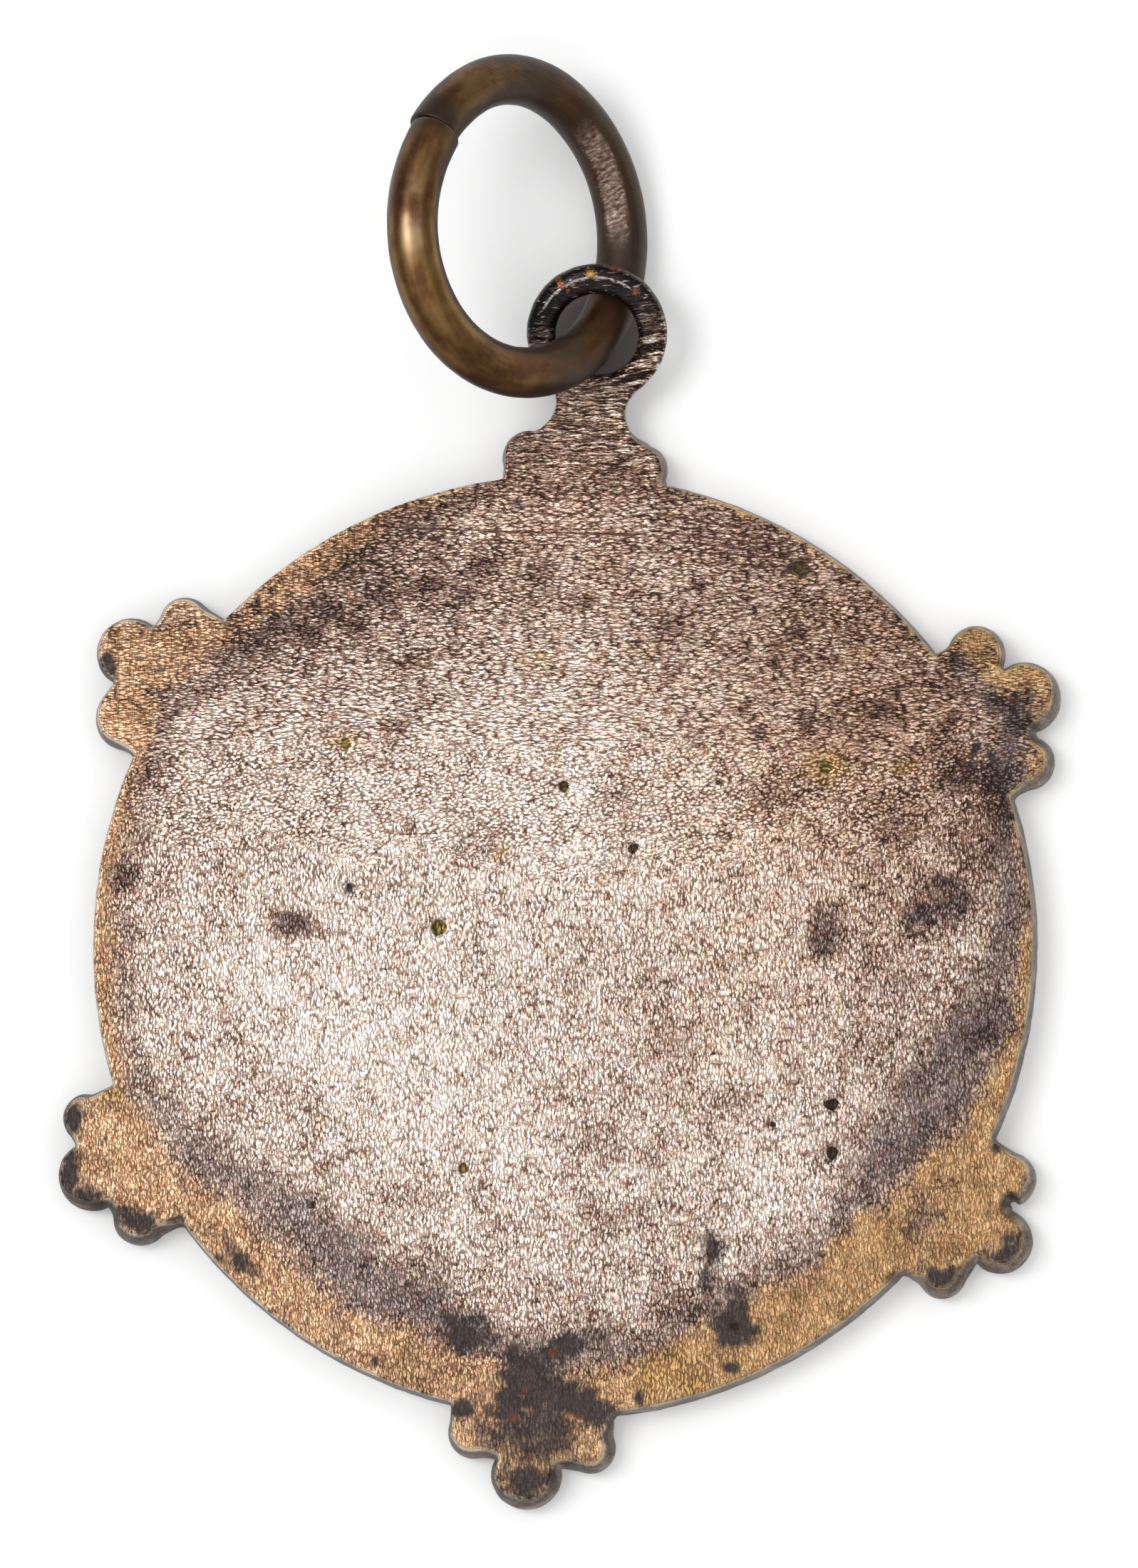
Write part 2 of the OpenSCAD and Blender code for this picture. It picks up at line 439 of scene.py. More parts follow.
# Pits in the back: place in the photograph in pixels, width and depth in millimetres, and how olive each is
PITS = [
    (616, 1302, 0.55, 0.1, 1.0),
    (791, 1104, 0.42, 0.1, 0.3),
    (888, 1191, 0.38, 0.08, 0.2),
    (1168, 1550, 0.45, 0.12, 0.0),
    (1168, 1618, 0.4, 0.1, 0.0),
    (1085, 1578, 0.25, 0.06, 0.0),
    (1158, 1076, 0.45, 0.05, 0.9),
    (485, 1044, 0.35, 0.04, 0.9),
    (650, 1640, 0.35, 0.05, 0.6),
    (1031, 1863, 0.3, 0.12, 0.0),
    (1123, 797, 0.5, 0.05, 0.3),
    (490, 1243, 0.25, 0.05, 0.0),
    (1008, 1098, 0.25, 0.05, 0.2),
    (440, 1690, 0.25, 0.05, 0.0),
    (1345, 1070, 0.3, 0.06, 0.2),
]


def pits(points):
    """How deep, how much and how olive each point lies in a pit: bell curves with a ragged edge."""
    depth, share, green = np.zeros((3, len(points)))
    ragged = 1 + 0.45 * rough(points, 0.3, 11)
    for px, py, width, deep, olive in PITS:
        far = np.linalg.norm(points - seen(px, py), axis=1) / (0.5 * width) * ragged
        near = np.exp(-(far**4) * 0.8)
        depth = np.maximum(depth, deep * near)
        share = np.maximum(share, near)
        green = np.maximum(green, near * olive)
    return depth, share, green


def back_height(points, edge):
    """The back face's height: slow swells, small dents and the pits, all fading out at the edge."""
    depth = pits(points)[0]
    swells = 0.022 * rough(points, 5.0, 21) + 0.01 * rough(points, 0.9, 22) + 0.006 * swell(points, 0.38, 23)
    fade_in = ease(0, 0.5, edge)
    return PLATE_T - 0.012 + (swells - 0.008) * fade_in - depth * ease(0, 0.2, edge)


# The lobes of the finials and shoulders, each finial in its own frame with Y outwards.
# Columns: the finial's turn from +X in degrees, then x, y and radius of the middle, left and right lobes
LOBES = [
    (30, (-0.42, 17.68, 1.25), (-2.47, 16.88, 1.02), (1.57, 16.78, 0.95)),
    (-30, (0.27, 17.82, 1.13), (-1.63, 16.94, 0.95), (2.28, 16.8, 0.85)),
    (-90, (0.2, 17.9, 1.23), (-1.89, 16.9, 0.9), (2.05, 16.6, 0.92)),
    (-150, (0.2, 17.73, 1.22), (-1.8, 16.93, 0.97), (2.04, 17.06, 0.85)),
    (150, (0.25, 17.73, 1.22), (-1.68, 16.62, 1.12), (2.1, 16.78, 0.9)),
    (90, (-2.1, 16.44, 0.97), (1.75, 16.25, 0.87)),
]


def bosses(points):
    """How far the domes on the lobes' fronts stand out: a round cap on each lobe."""
    rise = np.zeros(len(points))
    for turn, *lobes in LOBES:
        angle = math.radians(turn - 90)
        for x, y, radius in lobes:
            centre = (x * math.cos(angle) - y * math.sin(angle), x * math.sin(angle) + y * math.cos(angle))
            far = np.linalg.norm(points - centre, axis=1) / (radius - BOSS_MARGIN)
            rise = np.maximum(rise, BOSS_H * np.sqrt(np.clip(1 - far**2, 0, 1)))
    return rise


def front_height(points, edge):
    """The front's height: the raised rim round a plain field, and the finials' domed lobes outside it."""
    radius = np.linalg.norm(points, axis=1)
    inner = DISC_R - RIM_W
    field = FIELD_DEPTH * (1 - ease(inner - 0.05, inner + 0.3, radius))
    field += 0.02 * rough(points, 4.0, 41) * ease(0, 1.5, inner - radius)
    off_disc = ease(DISC_R - 0.02, DISC_R + 0.1, radius)
    plate = np.maximum(field, 0) + (WEB_DEPTH - bosses(points) * ease(0, 0.15, edge)) * off_disc
    lug = on_lug(points)
    return plate * (1 - lug) + (PLATE_T - LUG_T) * lug


# Bare brass round the rim, in bearings round the disc's centre as the photograph shows them: degrees
# anticlockwise from the right, then how far it reaches in from the disc's edge in millimetres
BRASS_BAND = [
    (0, 0.2), (-10, 0.5), (-20, 0.8), (-26, 1.15), (-31, 1.5), (-36, 2.0), (-41, 2.2), (-49, 2.2), (-57, 2.3),
    (-63, 2.4), (-70, 2.0), (-78, 1.7), (-86, 1.5), (-93, 1.4), (-101, 1.5), (-109, 1.8), (-117, 1.7),
    (-126, 1.8), (-134, 2.0), (-141, 1.8), (-147, 1.3), (-154, 0.9), (-162, 0.6), (-171, 0.5), (-180, 0.6),
    (-191, 0.7), (-201, 0.5), (-213, 0.1), (-221, 0.6), (-230, 1.1), (-239, 1.0), (-246, 0.6), (-256, 0.1),
    (-300, 0.0), (-318, -0.2), (-327, -0.9), (-333, -1.6), (-340, -1.2), (-348, 0.1),
]
# The grey-purple tarnish inside it, in the same way, from the brass inwards
DUSK_BAND = [
    (0, 1.2), (-10, 2.0), (-22, 2.8), (-30, 2.6), (-36, 1.8), (-41, 1.2), (-50, 0.9), (-62, 0.9), (-76, 0.9),
    (-90, 1.0), (-100, 1.2), (-110, 2.0), (-125, 2.4), (-141, 2.0), (-154, 1.2), (-168, 0.6), (-180, 0.5),
    (-195, 0.5), (-206, 0.4), (-214, 0.7), (-223, 0.8), (-236, 0.4), (-250, 0.0), (-300, 0.2), (-320, 0.3),
    (-335, 1.6), (-348, 1.2),
]


def banded(points, table):
    """A width for each point, read off a table of bearings all the way round."""
    bearing = np.degrees(np.arctan2(points[:, 1], points[:, 0]) - MEDAL_TURN)
    angles, widths = np.array(table).T
    order = np.argsort(angles % 360)
    return np.interp(bearing % 360, (angles % 360)[order], widths[order], period=360)


# Black patina: place in pixels, half lengths along and across in millimetres, the turn of its long side in
# degrees anticlockwise, and how black it is
BLACK = [
    (736, 1923, 1.0, 0.8, 40, 1.0),
    (755, 1952, 1.1, 0.9, 70, 1.0),
    (791, 1892, 1.5, 0.5, 22, 0.9),
    (714, 1970, 0.9, 0.8, 0, 0.9),
    (823, 1977, 0.9, 0.75, 0, 1.0),
    (677, 2005, 0.6, 0.5, 0, 0.6),
    (756, 2012, 2.1, 1.5, 0, 0.76),
    (770, 1950, 1.1, 0.9, 0, 1.0),
    (740, 2078, 1.3, 0.95, 0, 0.8),
    (650, 1977, 0.55, 0.45, 0, 0.85),
    (857, 1986, 0.3, 0.5, 0, 1.0),
    (652, 1871, 0.95, 0.7, -10, 1.0),
    (1030, 1860, 0.85, 0.85, 0, 1.0),
    (998, 1756, 0.5, 0.75, 0, 0.85),
    (994, 1792, 0.35, 0.6, 0, 0.75),
    (1036, 1818, 0.7, 0.4, -30, 0.6),
    (1025, 1920, 0.3, 0.22, 0, 0.9),
    (896, 1964, 0.25, 0.25, 0, 0.9),
    (338, 1768, 0.8, 0.35, -45, 0.8),
    (309, 1768, 0.5, 0.25, -35, 0.6),
    (527, 1911, 0.14, 0.2, 0, 0.8),
    (1430, 1766, 1.4, 0.9, 25, 1.0),
    (1330, 1800, 1.1, 0.6, 0, 1.0),
    (1357, 1781, 0.5, 0.3, 20, 0.8),
    (1261, 1792, 0.55, 0.25, 0, 0.7),
    (1400, 1610, 0.2, 0.25, 0, 1.0),
    (1417, 1688, 0.3, 0.3, 0, 0.9),
    (102, 1568, 0.5, 0.75, 0, 0.9),
    (98, 1650, 0.4, 1.1, 0, 1.0),
    (126, 1686, 1.0, 0.5, -35, 1.0),
    (194, 1714, 1.0, 0.42, -20, 0.9),
    (247, 1716, 0.4, 0.3, 0, 1.0),
    (150, 932, 0.3, 0.45, 20, 1.0),
    (164, 953, 0.2, 0.2, 0, 0.8),
    (195, 924, 0.18, 0.16, 0, 0.6),
    (226, 939, 0.18, 0.16, 0, 0.6),
    (1370, 1050, 0.35, 0.16, 60, 1.0),
    (1394, 1064, 0.4, 0.17, -65, 1.0),
    (1362, 1074, 0.25, 0.16, 0, 0.8),
    (1123, 800, 0.55, 0.3, -15, 0.8),
    (729, 710, 0.3, 0.22, 0, 0.7),
    (592, 742, 0.9, 0.2, 5, 0.55),
    (490, 1246, 0.28, 0.22, 0, 0.75),
]
# Dull smudges of thicker tarnish, in the same columns
SMUDGES = [
    (413, 1299, 0.9, 0.5, -5, 1.4),
    (1336, 1262, 0.85, 0.8, 0, 1.3),
    (1291, 1286, 0.7, 0.5, 30, 1.5),
    (1332, 1238, 0.6, 0.3, 0, 1.5),
    (1159, 1310, 0.6, 0.9, 0, 1.3),
    (279, 889, 1.5, 0.7, 20, 0.2),
    (379, 887, 1.0, 0.6, 0, 0.3),
    (429, 890, 0.5, 0.35, 0, 0.8),
    (458, 854, 0.7, 0.35, 0, 0.7),
    (358, 856, 0.35, 0.25, 0, 0.9),
    (496, 875, 0.45, 0.3, 0, 0.7),
    (540, 838, 0.3, 0.3, 0, 0.7),
    (604, 821, 0.6, 0.35, 10, 0.9),
    (646, 837, 0.5, 0.4, 0, 0.8),
    (673, 794, 0.55, 0.65, 0, 0.7),
    (756, 800, 0.6, 0.5, 0, 0.7),
    (640, 873, 0.25, 0.25, 0, 0.8),
    (575, 927, 0.6, 0.3, 20, 0.7),
    (829, 840, 0.22, 0.22, 0, 0.9),
    (806, 846, 0.4, 0.35, 0, 0.5),
    (556, 1021, 0.5, 0.3, 0, 0.5),
    (675, 1187, 1.0, 0.6, 10, 0.55),
    (575, 1160, 0.28, 0.22, 0, 0.9),
    (871, 1129, 0.5, 0.6, 0, 0.6),
    (980, 823, 0.22, 0.2, 0, 0.9),
    (945, 882, 0.7, 0.5, 0, 0.7),
    (1086, 927, 0.35, 0.45, 0, 0.6),
    (1116, 886, 0.35, 0.25, 0, 0.8),
    (1134, 1011, 0.5, 0.4, 0, 0.9),
    (1064, 1032, 0.4, 0.3, 0, 0.8),
    (1232, 995, 0.45, 0.35, 0, 0.7),
    (1365, 1095, 1.2, 0.55, 0, 1.0),
    (240, 872, 1.7, 0.4, 8, 0.9),
    (335, 852, 1.3, 0.45, 35, 0.9),
    (1445, 991, 0.8, 0.9, 0, 0.9),
    (1332, 1009, 0.35, 0.35, 0, 0.7),
    (1077, 1118, 1.0, 0.7, 0, 0.6),
    (864, 1118, 0.8, 0.8, 0, 0.45),
    (1261, 1159, 0.6, 0.6, 0, 0.6),
    (1018, 1173, 0.35, 0.35, 0, 0.6),
    (1400, 1136, 0.9, 0.6, 0, 0.5),
    (1359, 1200, 0.9, 0.9, 0, 0.4),
    (907, 1380, 0.5, 0.5, 0, 0.7),
    (948, 1459, 1.0, 0.9, 0, 0.55),
    (1032, 1550, 0.8, 0.7, 0, 0.45),
    (923, 1623, 0.7, 0.6, 0, 0.45),
    (845, 1605, 0.8, 0.6, 0, 0.6),
    (927, 1640, 0.6, 0.6, 0, 0.4),
    (673, 1668, 0.45, 0.45, 0, 0.8),
    (459, 1645, 0.4, 0.5, 0, 0.7),
    (573, 1686, 0.9, 0.5, 0, 0.5),
    (409, 1545, 1.0, 0.6, 0, 0.45),
    (855, 1695, 1.1, 0.6, 0, 0.45),
    (959, 1832, 0.9, 0.6, 0, 0.6),
    (1300, 1705, 0.9, 1.2, 0, 0.8),
    (1318, 1664, 0.6, 0.5, 0, 0.7),
    (1395, 1450, 0.4, 0.5, 0, 0.5),
    (1341, 925, 0.35, 0.2, 20, 0.9),
    (1392, 916, 0.3, 0.3, 0, 0.8),
    (185, 1228, 0.5, 0.5, 0, 1.0),
    (218, 1089, 0.7, 0.5, 0, 0.4),
    (214, 974, 0.7, 0.25, 0, 0.8),
]
# Warm olive stains, in the same columns
OLIVE = [
    (918, 1930, 0.5, 0.5, 0, 0.9),
    (948, 1915, 0.7, 0.6, 0, 0.8),
    (975, 1945, 0.4, 0.4, 0, 0.6),
    (483, 1042, 0.5, 0.3, 0, 0.8),
    (704, 1196, 0.3, 0.25, 0, 0.8),
    (1159, 1077, 0.75, 0.5, 0, 0.9),
    (1273, 1077, 0.35, 0.25, 0, 0.7),
    (1126, 806, 0.4, 0.3, 0, 0.7),
    (754, 928, 0.5, 0.4, 0, 0.5),
    (161, 1537, 0.4, 0.3, 0, 0.8),
    (1445, 930, 0.5, 0.3, -30, 0.6),
]


def blotches(points, table, seed):
    """How strongly each point is stained: the most that any stain gives it, through a ragged ellipse."""
    ragged = 0.5 * rough(points, 1.0, seed) + 0.45 * rough(points, 0.35, seed + 1)
    stain = np.zeros(len(points))
    for px, py, along, across, turn, depth in table:
        angle = math.radians(turn) + MEDAL_TURN
        offset = points - seen(px, py)
        u = (offset[:, 0] * math.cos(angle) + offset[:, 1] * math.sin(angle)) / along
        v = (offset[:, 1] * math.cos(angle) - offset[:, 0] * math.sin(angle)) / across
        stain = np.maximum(stain, depth * ease(1.6, 0.2, np.hypot(u, v) + ragged))
    return stain


# How light the tarnish is, partly as painted light: place in pixels, reach in millimetres, and how much
# lighter than the rest
GLEAMS = [
    (430, 1400, 6.5, 0.13),
    (640, 1590, 6.0, 0.1),
    (760, 1130, 5.5, 0.11),
    (880, 1680, 5.5, 0.04),
    (430, 1740, 3.0, 0.03),
    (1110, 1690, 2.6, 0.09),
    (1400, 1250, 2.4, 0.06),
    (160, 1620, 2.4, 0.06),
    (650, 1915, 2.0, -0.08),
    (1265, 1450, 3.0, -0.02),
    (1060, 1500, 4.5, 0.07),
    (400, 1010, 4.5, 0.02),
    (1330, 1130, 3.5, -0.05),
    (1050, 1230, 5.0, 0.06),
    (560, 770, 4.5, -0.15),
    (380, 860, 3.0, -0.08),
    (1220, 900, 6.0, -0.12),
    (1330, 1180, 4.0, -0.03),
    (980, 720, 5.0, -0.06),
]
# Where it is warmer, tan rather than white, in the same columns
TAN = [
    (1120, 1150, 6.0, 0.5),
    (1250, 960, 6.0, 0.6),
    (1000, 1450, 3.5, 0.3),
    (780, 680, 4.0, 0.5),
    (880, 850, 4.0, 0.2),
]


def bells(points, table):
    """The sum of broad bell curves round places."""
    total = np.zeros(len(points))
    for px, py, reach, gain in table:
        far = np.linalg.norm(points - seen(px, py), axis=1) / reach
        total += gain * np.exp(-1.2 * far**2)
    return total


def grain_turns(points):
    """Where the grain runs level, near the top, and where it stands upright, in the lower half."""
    seen_x, seen_y = points @ right[:2], points @ up[:2]
    wander = 1.5 * rough(points, 3.0, 71)
    return ease(4.5, 9.0, seen_y + wander), ease(5.5, -0.5, seen_y + wander - 0.1 * np.abs(seen_x))


# How far the back's edge is rounded: the least on the plate, what nicks add to that, the lug's, and what is
# added at the eyelet's top
SHARP_ROUND = 0.05
NICK_ROUND = 0.11
LUG_ROUND = 0.26
EYELET_ROUND = 0.12
# How far the back's edge draws in on the lobes: all round, and what is added towards the bottom right
LOBE_INSET = 0.05
WORN_INSET = 0.17


def edge_wear(outer):
    """How far the back's edge is rounded at each point of the outline, and how far it is drawn in."""
    nicks = 0.5 + 0.5 * rough(outer, 1.1, 81)
    roundness = SHARP_ROUND + NICK_ROUND * np.clip(nicks, 0, 1)
    roundness = roundness + (LUG_ROUND - roundness) * ease(18.4, 19.2, outer[:, 1])
    roundness = roundness + EYELET_ROUND * ease(20.5, 22.0, outer[:, 1])
    worn_side = ease(-0.3, 0.7, outward(outer, 7) @ (0.5 * right[:2] - 0.87 * up[:2]))
    on_lobe = ease(DISC_R + 0.1, DISC_R + 0.7, np.linalg.norm(outer, axis=1)) * (1 - on_lug(outer))
    return roundness, on_lobe * (LOBE_INSET + WORN_INSET * worn_side)


def medal():
    """The whole medal as one skin: back, wall and front, drawn flat. Gives places, faces and marks."""
    outer, hole = outlines()
    outer_wall = wall(outer, *edge_wear(outer))
    hole_wall = wall(hole, np.full(len(hole), HOLE_ROUND), np.zeros(len(hole)))
    rows, count = outer_wall.shape[:2]
    hole_count = len(hole)

    back_loops = [outer_wall[0, :, :2], hole_wall[0, :, :2]]
    front_loops = [outer_wall[-1, :, :2], hole_wall[-1, :, :2]]
    low, high = outer.min(0), outer.max(0)
    back_inner = keep_inside(honeycomb(low, high, BACK_STEP), *back_loops, KEEP_OFF)
    coarse, fine = honeycomb(low, high, FIELD_STEP), honeycomb(low, high, RELIEF_STEP)
    coarse = coarse[np.linalg.norm(coarse, axis=1) < DISC_R - RIM_W - 0.25]
    fine = fine[np.linalg.norm(fine, axis=1) > DISC_R - RIM_W - 0.15]
    front_inner = keep_inside(np.vstack([coarse, fine]), *front_loops, KEEP_OFF)
    back_faces = fill(back_loops, back_inner)
    front_faces = fill(front_loops, front_inner)

    # Vertices: the outer wall row by row, the hole's wall, then the back's and the front's inner points
    outer_at, hole_at = 0, rows * count
    back_at = hole_at + rows * hole_count
    front_at = back_at + len(back_inner)
    back_source = np.concatenate([
        outer_at + np.arange(count),
        hole_at + np.arange(hole_count),
        back_at + np.arange(len(back_inner)),
    ])
    front_source = np.concatenate([
        outer_at + (rows - 1) * count + np.arange(count),
        hole_at + (rows - 1) * hole_count + np.arange(hole_count),
        front_at + np.arange(len(front_inner)),
    ])
    # A band's faces and the front's are turned, so that all faces point outwards
    faces = (
        band(outer_at, rows, count)[:, ::-1].tolist()
        + band(hole_at, rows, hole_count)[:, ::-1].tolist()
        + back_source[back_faces].tolist()
        + front_source[front_faces][:, ::-1].tolist()
    )

    back_far = edge_distance(back_inner, back_loops[0])
    front_far = edge_distance(front_inner, front_loops[0])
    back = np.column_stack([back_inner, back_height(back_inner, back_far)])
    front = np.column_stack([front_inner, front_height(front_inner, front_far)])
    flat = np.vstack([outer_wall.reshape(-1, 3), hole_wall.reshape(-1, 3), back, front])
    edge = np.concatenate([np.zeros(back_at), back_far, front_far])
    return flat, faces, medal_marks(flat, edge, rows, count, hole_count, len(back_inner))


def medal_marks(flat, edge, rows, count, hole_count, back_count):
    """Values that the metal's finish reads at every point.

    Each is a share, mostly from 0 to 1, worked out from the point's place, its row in the wall and how far
    it is from the outline. A row is 0 at the back's edge and largest at the front's.
    """
    plan = flat[:, :2]
    depth_in = DISC_R - np.linalg.norm(plan, axis=1)
    row = np.concatenate([
        np.repeat(np.arange(rows), count),
        np.repeat(np.arange(rows), hole_count),
        np.zeros(back_count),
        np.full(len(flat) - rows * (count + hole_count) - back_count, rows - 1),
    ])
    on_outline = (row < 1) * (edge == 0) * (np.arange(len(flat)) < rows * count)
    ragged = 0.45 * rough(plan, 2.4, 91) + 0.3 * rough(plan, 0.7, 92)
    # The lug and its foot on the disc, where neither brass nor purple tarnish follows the rim
    lug = ease(14.6, 15.6, plan[:, 1]) * ease(4.4, 3.6, np.abs(plan[:, 0]))
    brass_width = banded(plan, BRASS_BAND)
    brass = ease(-0.9, 0.75, brass_width - depth_in + ragged) * (1 - lug)
    dusk_inner = brass_width + banded(plan, DUSK_BAND)
    dusk = ease(-1.1, 0.9, dusk_inner - depth_in + 1.5 * ragged) * (1 - 0.8 * lug)
    smudge = blotches(plan, SMUDGES, 53)
    level, upright = grain_turns(plan)
    # The eyelet is sooty at its top and filed on its right
    worn_top = ease(20.3, 21.7, plan[:, 1] + 0.5 * rough(plan, 0.8, 95) - 0.25 * plan[:, 0])
    filed = ease(18.6, 19.6, plan[:, 1]) * ease(0.3, 1.2, plan[:, 0]) * (1 - 0.6 * worn_top)
    stained_pit = pits(plan)
    mottle = 0.06 * rough(plan, 3.0, 61) + 0.08 * rough(plan, 1.1, 62)
    # The tone holds painted light: a broad highlight left of the middle, darker towards the top and right
    base = 0.56 + bells(plan, GLEAMS) + mottle - 0.095 * lug
    return {
        "tone": base - 0.19 * dusk * (1 - brass) - 0.22 * smudge,
        "tan": np.clip(bells(plan, TAN) + 0.25 * rough(plan, 1.5, 63), 0, 1),
        "brass": brass * (1 - 0.6 * np.minimum(smudge, 1)),
        "dusk": np.maximum(dusk * 0.8, smudge * 0.5) * (1 - brass * np.clip(1 - smudge, 0, 1)),
        "black": blotches(plan, BLACK, 51),
        "olive": blotches(plan, OLIVE, 55),
        "pit": stained_pit[1],
        "green": stained_pit[2],
        "gold": ease(-0.7, 0.7, plan @ right[:2] / 9 + 0.5 * rough(plan, 3.0, 98)),
        "lug": ease(15.2, 16.6, plan[:, 1] + 0.5 * rough(plan, 1.0, 97)),
        "level": level,
        "upright": upright,
        "soot": worn_top,
        "filed": filed,
        # The back's rounded edge: rubbed bare, and partly a painted highlight
        "rub": ease(0.1, 0.0, edge) * (row > 0) * (row < 6),
        # A painted highlight along the top left of the eyelet's outer edge
        "glint": on_outline * ease(21.1, 21.8, plan[:, 1]) * ease(1.5, 0.9, plan[:, 0]),
        "side": ease(3, 6, row),
    }


# The ring's shape


def ring_turned(ways):
    """Turns the directions of a ring that is drawn flat to where they point once it leans."""
    def about(axis, angle):
        return np.array(Matrix.Rotation(angle, 3, axis))

    return ways @ (about("Z", RING_TURN) @ about("Y", RING_LEAN) @ about("Z", SPLIT_AT)).T


def ring_frame(points):
    """Stands a ring that is drawn flat round the origin in its place, leaning through the eyelet."""
    return ring_turned(points) + RING_CENTRE


RING_ROWS = 330
RING_SIDES = 64
SWEEP_ROWS = 25
# The worn flat on the ring: its middle along the ring, its half length and the way it faces, in degrees
FLAT_AT = 62.0
FLAT_HALF = 34.0
FLAT_FACING = 143.0
# How far the ring is bent out of round: degrees along it, then outwards in millimetres
BENT_RING = [
    (-180, -0.2), (-165, -0.18), (-150, -0.08), (-138, 0.03), (-120, 0.13), (-98, 0.2), (-75, 0.12),
    (-50, 0.0), (85, 0.0), (112, 0.07), (135, 0.03), (150, -0.06), (165, -0.14), (180, -0.15),
]
# How far the cut's rim is rounded, and how deep the flat is worn
CUT_ROUND = 0.07
FLAT_DEPTH = 0.09
# Grime along the ring: its middle and half length in degrees, and how much there is
GRIME_RUNS = [(84, 92, 0.75), (-8, 62, 0.6)]
# A highlight painted into the ring's colour: its middle in pixels of the photograph, and its height
PAINTED_HIGHLIGHT_AT, PAINTED_HIGHLIGHT_HEIGHT = (569, 330), 3.0


def bell_run(along, at, half):
    """1 at a place along the ring, fading to 0 a half length away on either side."""
    return ease(half, half * 0.45, np.abs(along - at))


def ring():
    """The split ring: a round section carried along a bent circle, with a worn flat and two cut ends.

    Along runs in degrees from the side opposite the split, and round runs about the wire from outwards
    towards the ring's upper side.
    """
    # Each end closes in a few rows: round over the cut's rim and then across it to a middle point
    close = np.radians([90, 60, 30, 0])
    shrink = np.concatenate([[0.001, 0.45], (WIRE_R - CUT_ROUND + CUT_ROUND * np.cos(close)) / WIRE_R])
    back_off = np.degrees(np.concatenate([[0, 0], CUT_ROUND * (1 - np.sin(close))]) / RING_R)
    last = RING_HALF - back_off
    middle_rows = np.linspace(-last[-1], last[-1], RING_ROWS)[1:-1]
    along = np.concatenate([-last, middle_rows, last[::-1]])
    scale = np.concatenate([shrink, np.ones(len(middle_rows)), shrink[::-1]])
    around = np.arange(RING_SIDES) * 2 * math.pi / RING_SIDES
    a, v = np.meshgrid(np.radians(along), around, indexing="ij")
    degrees = np.degrees(a)

    on_flat = bell_run(degrees, FLAT_AT, FLAT_HALF)
    facing = np.radians(FLAT_FACING) - 0.12 * (degrees - FLAT_AT) / FLAT_HALF
    reach = np.cos(v - facing)
    cut = (WIRE_R - FLAT_DEPTH * on_flat) / np.maximum(reach, 0.3)
    straight = np.stack([a * RING_R, WIRE_R * np.cos(v), WIRE_R * np.sin(v)], -1)
    lumps = np.minimum(0.012 * rough(straight, 1.6, 101) + 0.006 * rough(straight, 0.4, 102), 0.004) - 0.006
    radius = np.minimum(WIRE_R, np.where(reach > 0.5, cut, WIRE_R)) + lumps
    radius = radius * scale[:, None]
    flatness = on_flat * ease(0.84, 0.93, reach + 0.03 * rough(straight, 0.5, 104))

    way, off = np.array(BENT_RING).T
    # The bends are eased by the mean over SWEEP_ROWS rows
    sweep = np.pad(np.interp(degrees[:, 0], way, off), SWEEP_ROWS // 2, mode="edge")
    sweep = np.convolve(sweep, np.full(SWEEP_ROWS, 1 / SWEEP_ROWS), mode="valid")[:, None]
    radial = np.stack([np.cos(a), np.sin(a), np.zeros_like(a)], -1)
    lift = SPLIT_STEP * 0.5 * ease(150, 180, np.abs(degrees)) * np.sign(-a)
    places = (RING_R + sweep + radius * np.cos(v))[..., None] * radial
    places = places + (radius * np.sin(v) + lift)[..., None] * [0, 0, 1]
    places[0], places[-1] = places[0].mean(0), places[-1].mean(0)

    places = ring_frame(places)
    facing_up = ring_turned(np.cos(v)[..., None] * radial + np.sin(v)[..., None] * [0, 0, 1])[..., 2]
    marks = ring_marks(places, degrees, straight, facing_up)
    marks["worn"] = flatness.ravel()
    return places.reshape(-1, 3), band(0, len(along), RING_SIDES)[:, ::-1].tolist(), marks


def ring_marks(places, degrees, straight, facing_up):
    """Values that the wire's finish reads at every point, and the wire's own straight places.

    Dirt lies along runs of the ring and about the split, mostly on one end. What faces down is darkened as
    painted shade, and one place that faces up gets a painted highlight.
    """
    near_split = RING_HALF - np.abs(degrees) + 7 * rough(straight, 1.5, 103)
    grime = sum(share * bell_run(degrees, at, half) for at, half, share in GRIME_RUNS)
    grime = grime + 0.7 * ease(9, 1, near_split) * (0.3 + 0.7 * (degrees > 0)) + 0.4 * ease(30, 6, near_split)
    # Painted shade: the wire is darkened where it faces down
    grime = grime + 0.85 * ease(0.7, 0.2, facing_up + 0.1 * rough(straight, 0.8, 106))
    grime = grime + 0.2 * rough(straight, 1.3, 105)
    # Painted highlight: the wire is lightened near one place, only where it faces up
    off_highlight = np.linalg.norm(places[..., :2] - seen(*PAINTED_HIGHLIGHT_AT, PAINTED_HIGHLIGHT_HEIGHT), axis=-1)
    bright = ease(2.2, 0.3, off_highlight + 0.3 * rough(straight, 0.9, 107)) * ease(0.80, 0.97, facing_up)
    return {
        "wire": straight.reshape(-1, 3),
        "grime": np.clip(grime, 0, 1).ravel(),
        "handled": bell_run(degrees, 95, 85).ravel(),
        "bright": bright.ravel(),
    }


# Finishes


class Value:
    """One output of a material's nodes. Python's operators on it add Math nodes."""

    def __init__(self, finish, socket):
        self.finish = finish
        self.socket = socket

    def __add__(self, other):
        return self.finish.math("ADD", self, other)

    def __radd__(self, other):
        return self.finish.math("ADD", other, self)

    def __sub__(self, other):
        return self.finish.math("SUBTRACT", self, other)

    def __rsub__(self, other):
        return self.finish.math("SUBTRACT", other, self)

    def __mul__(self, other):
        return self.finish.math("MULTIPLY", self, other)

    def __rmul__(self, other):
        return self.finish.math("MULTIPLY", other, self)


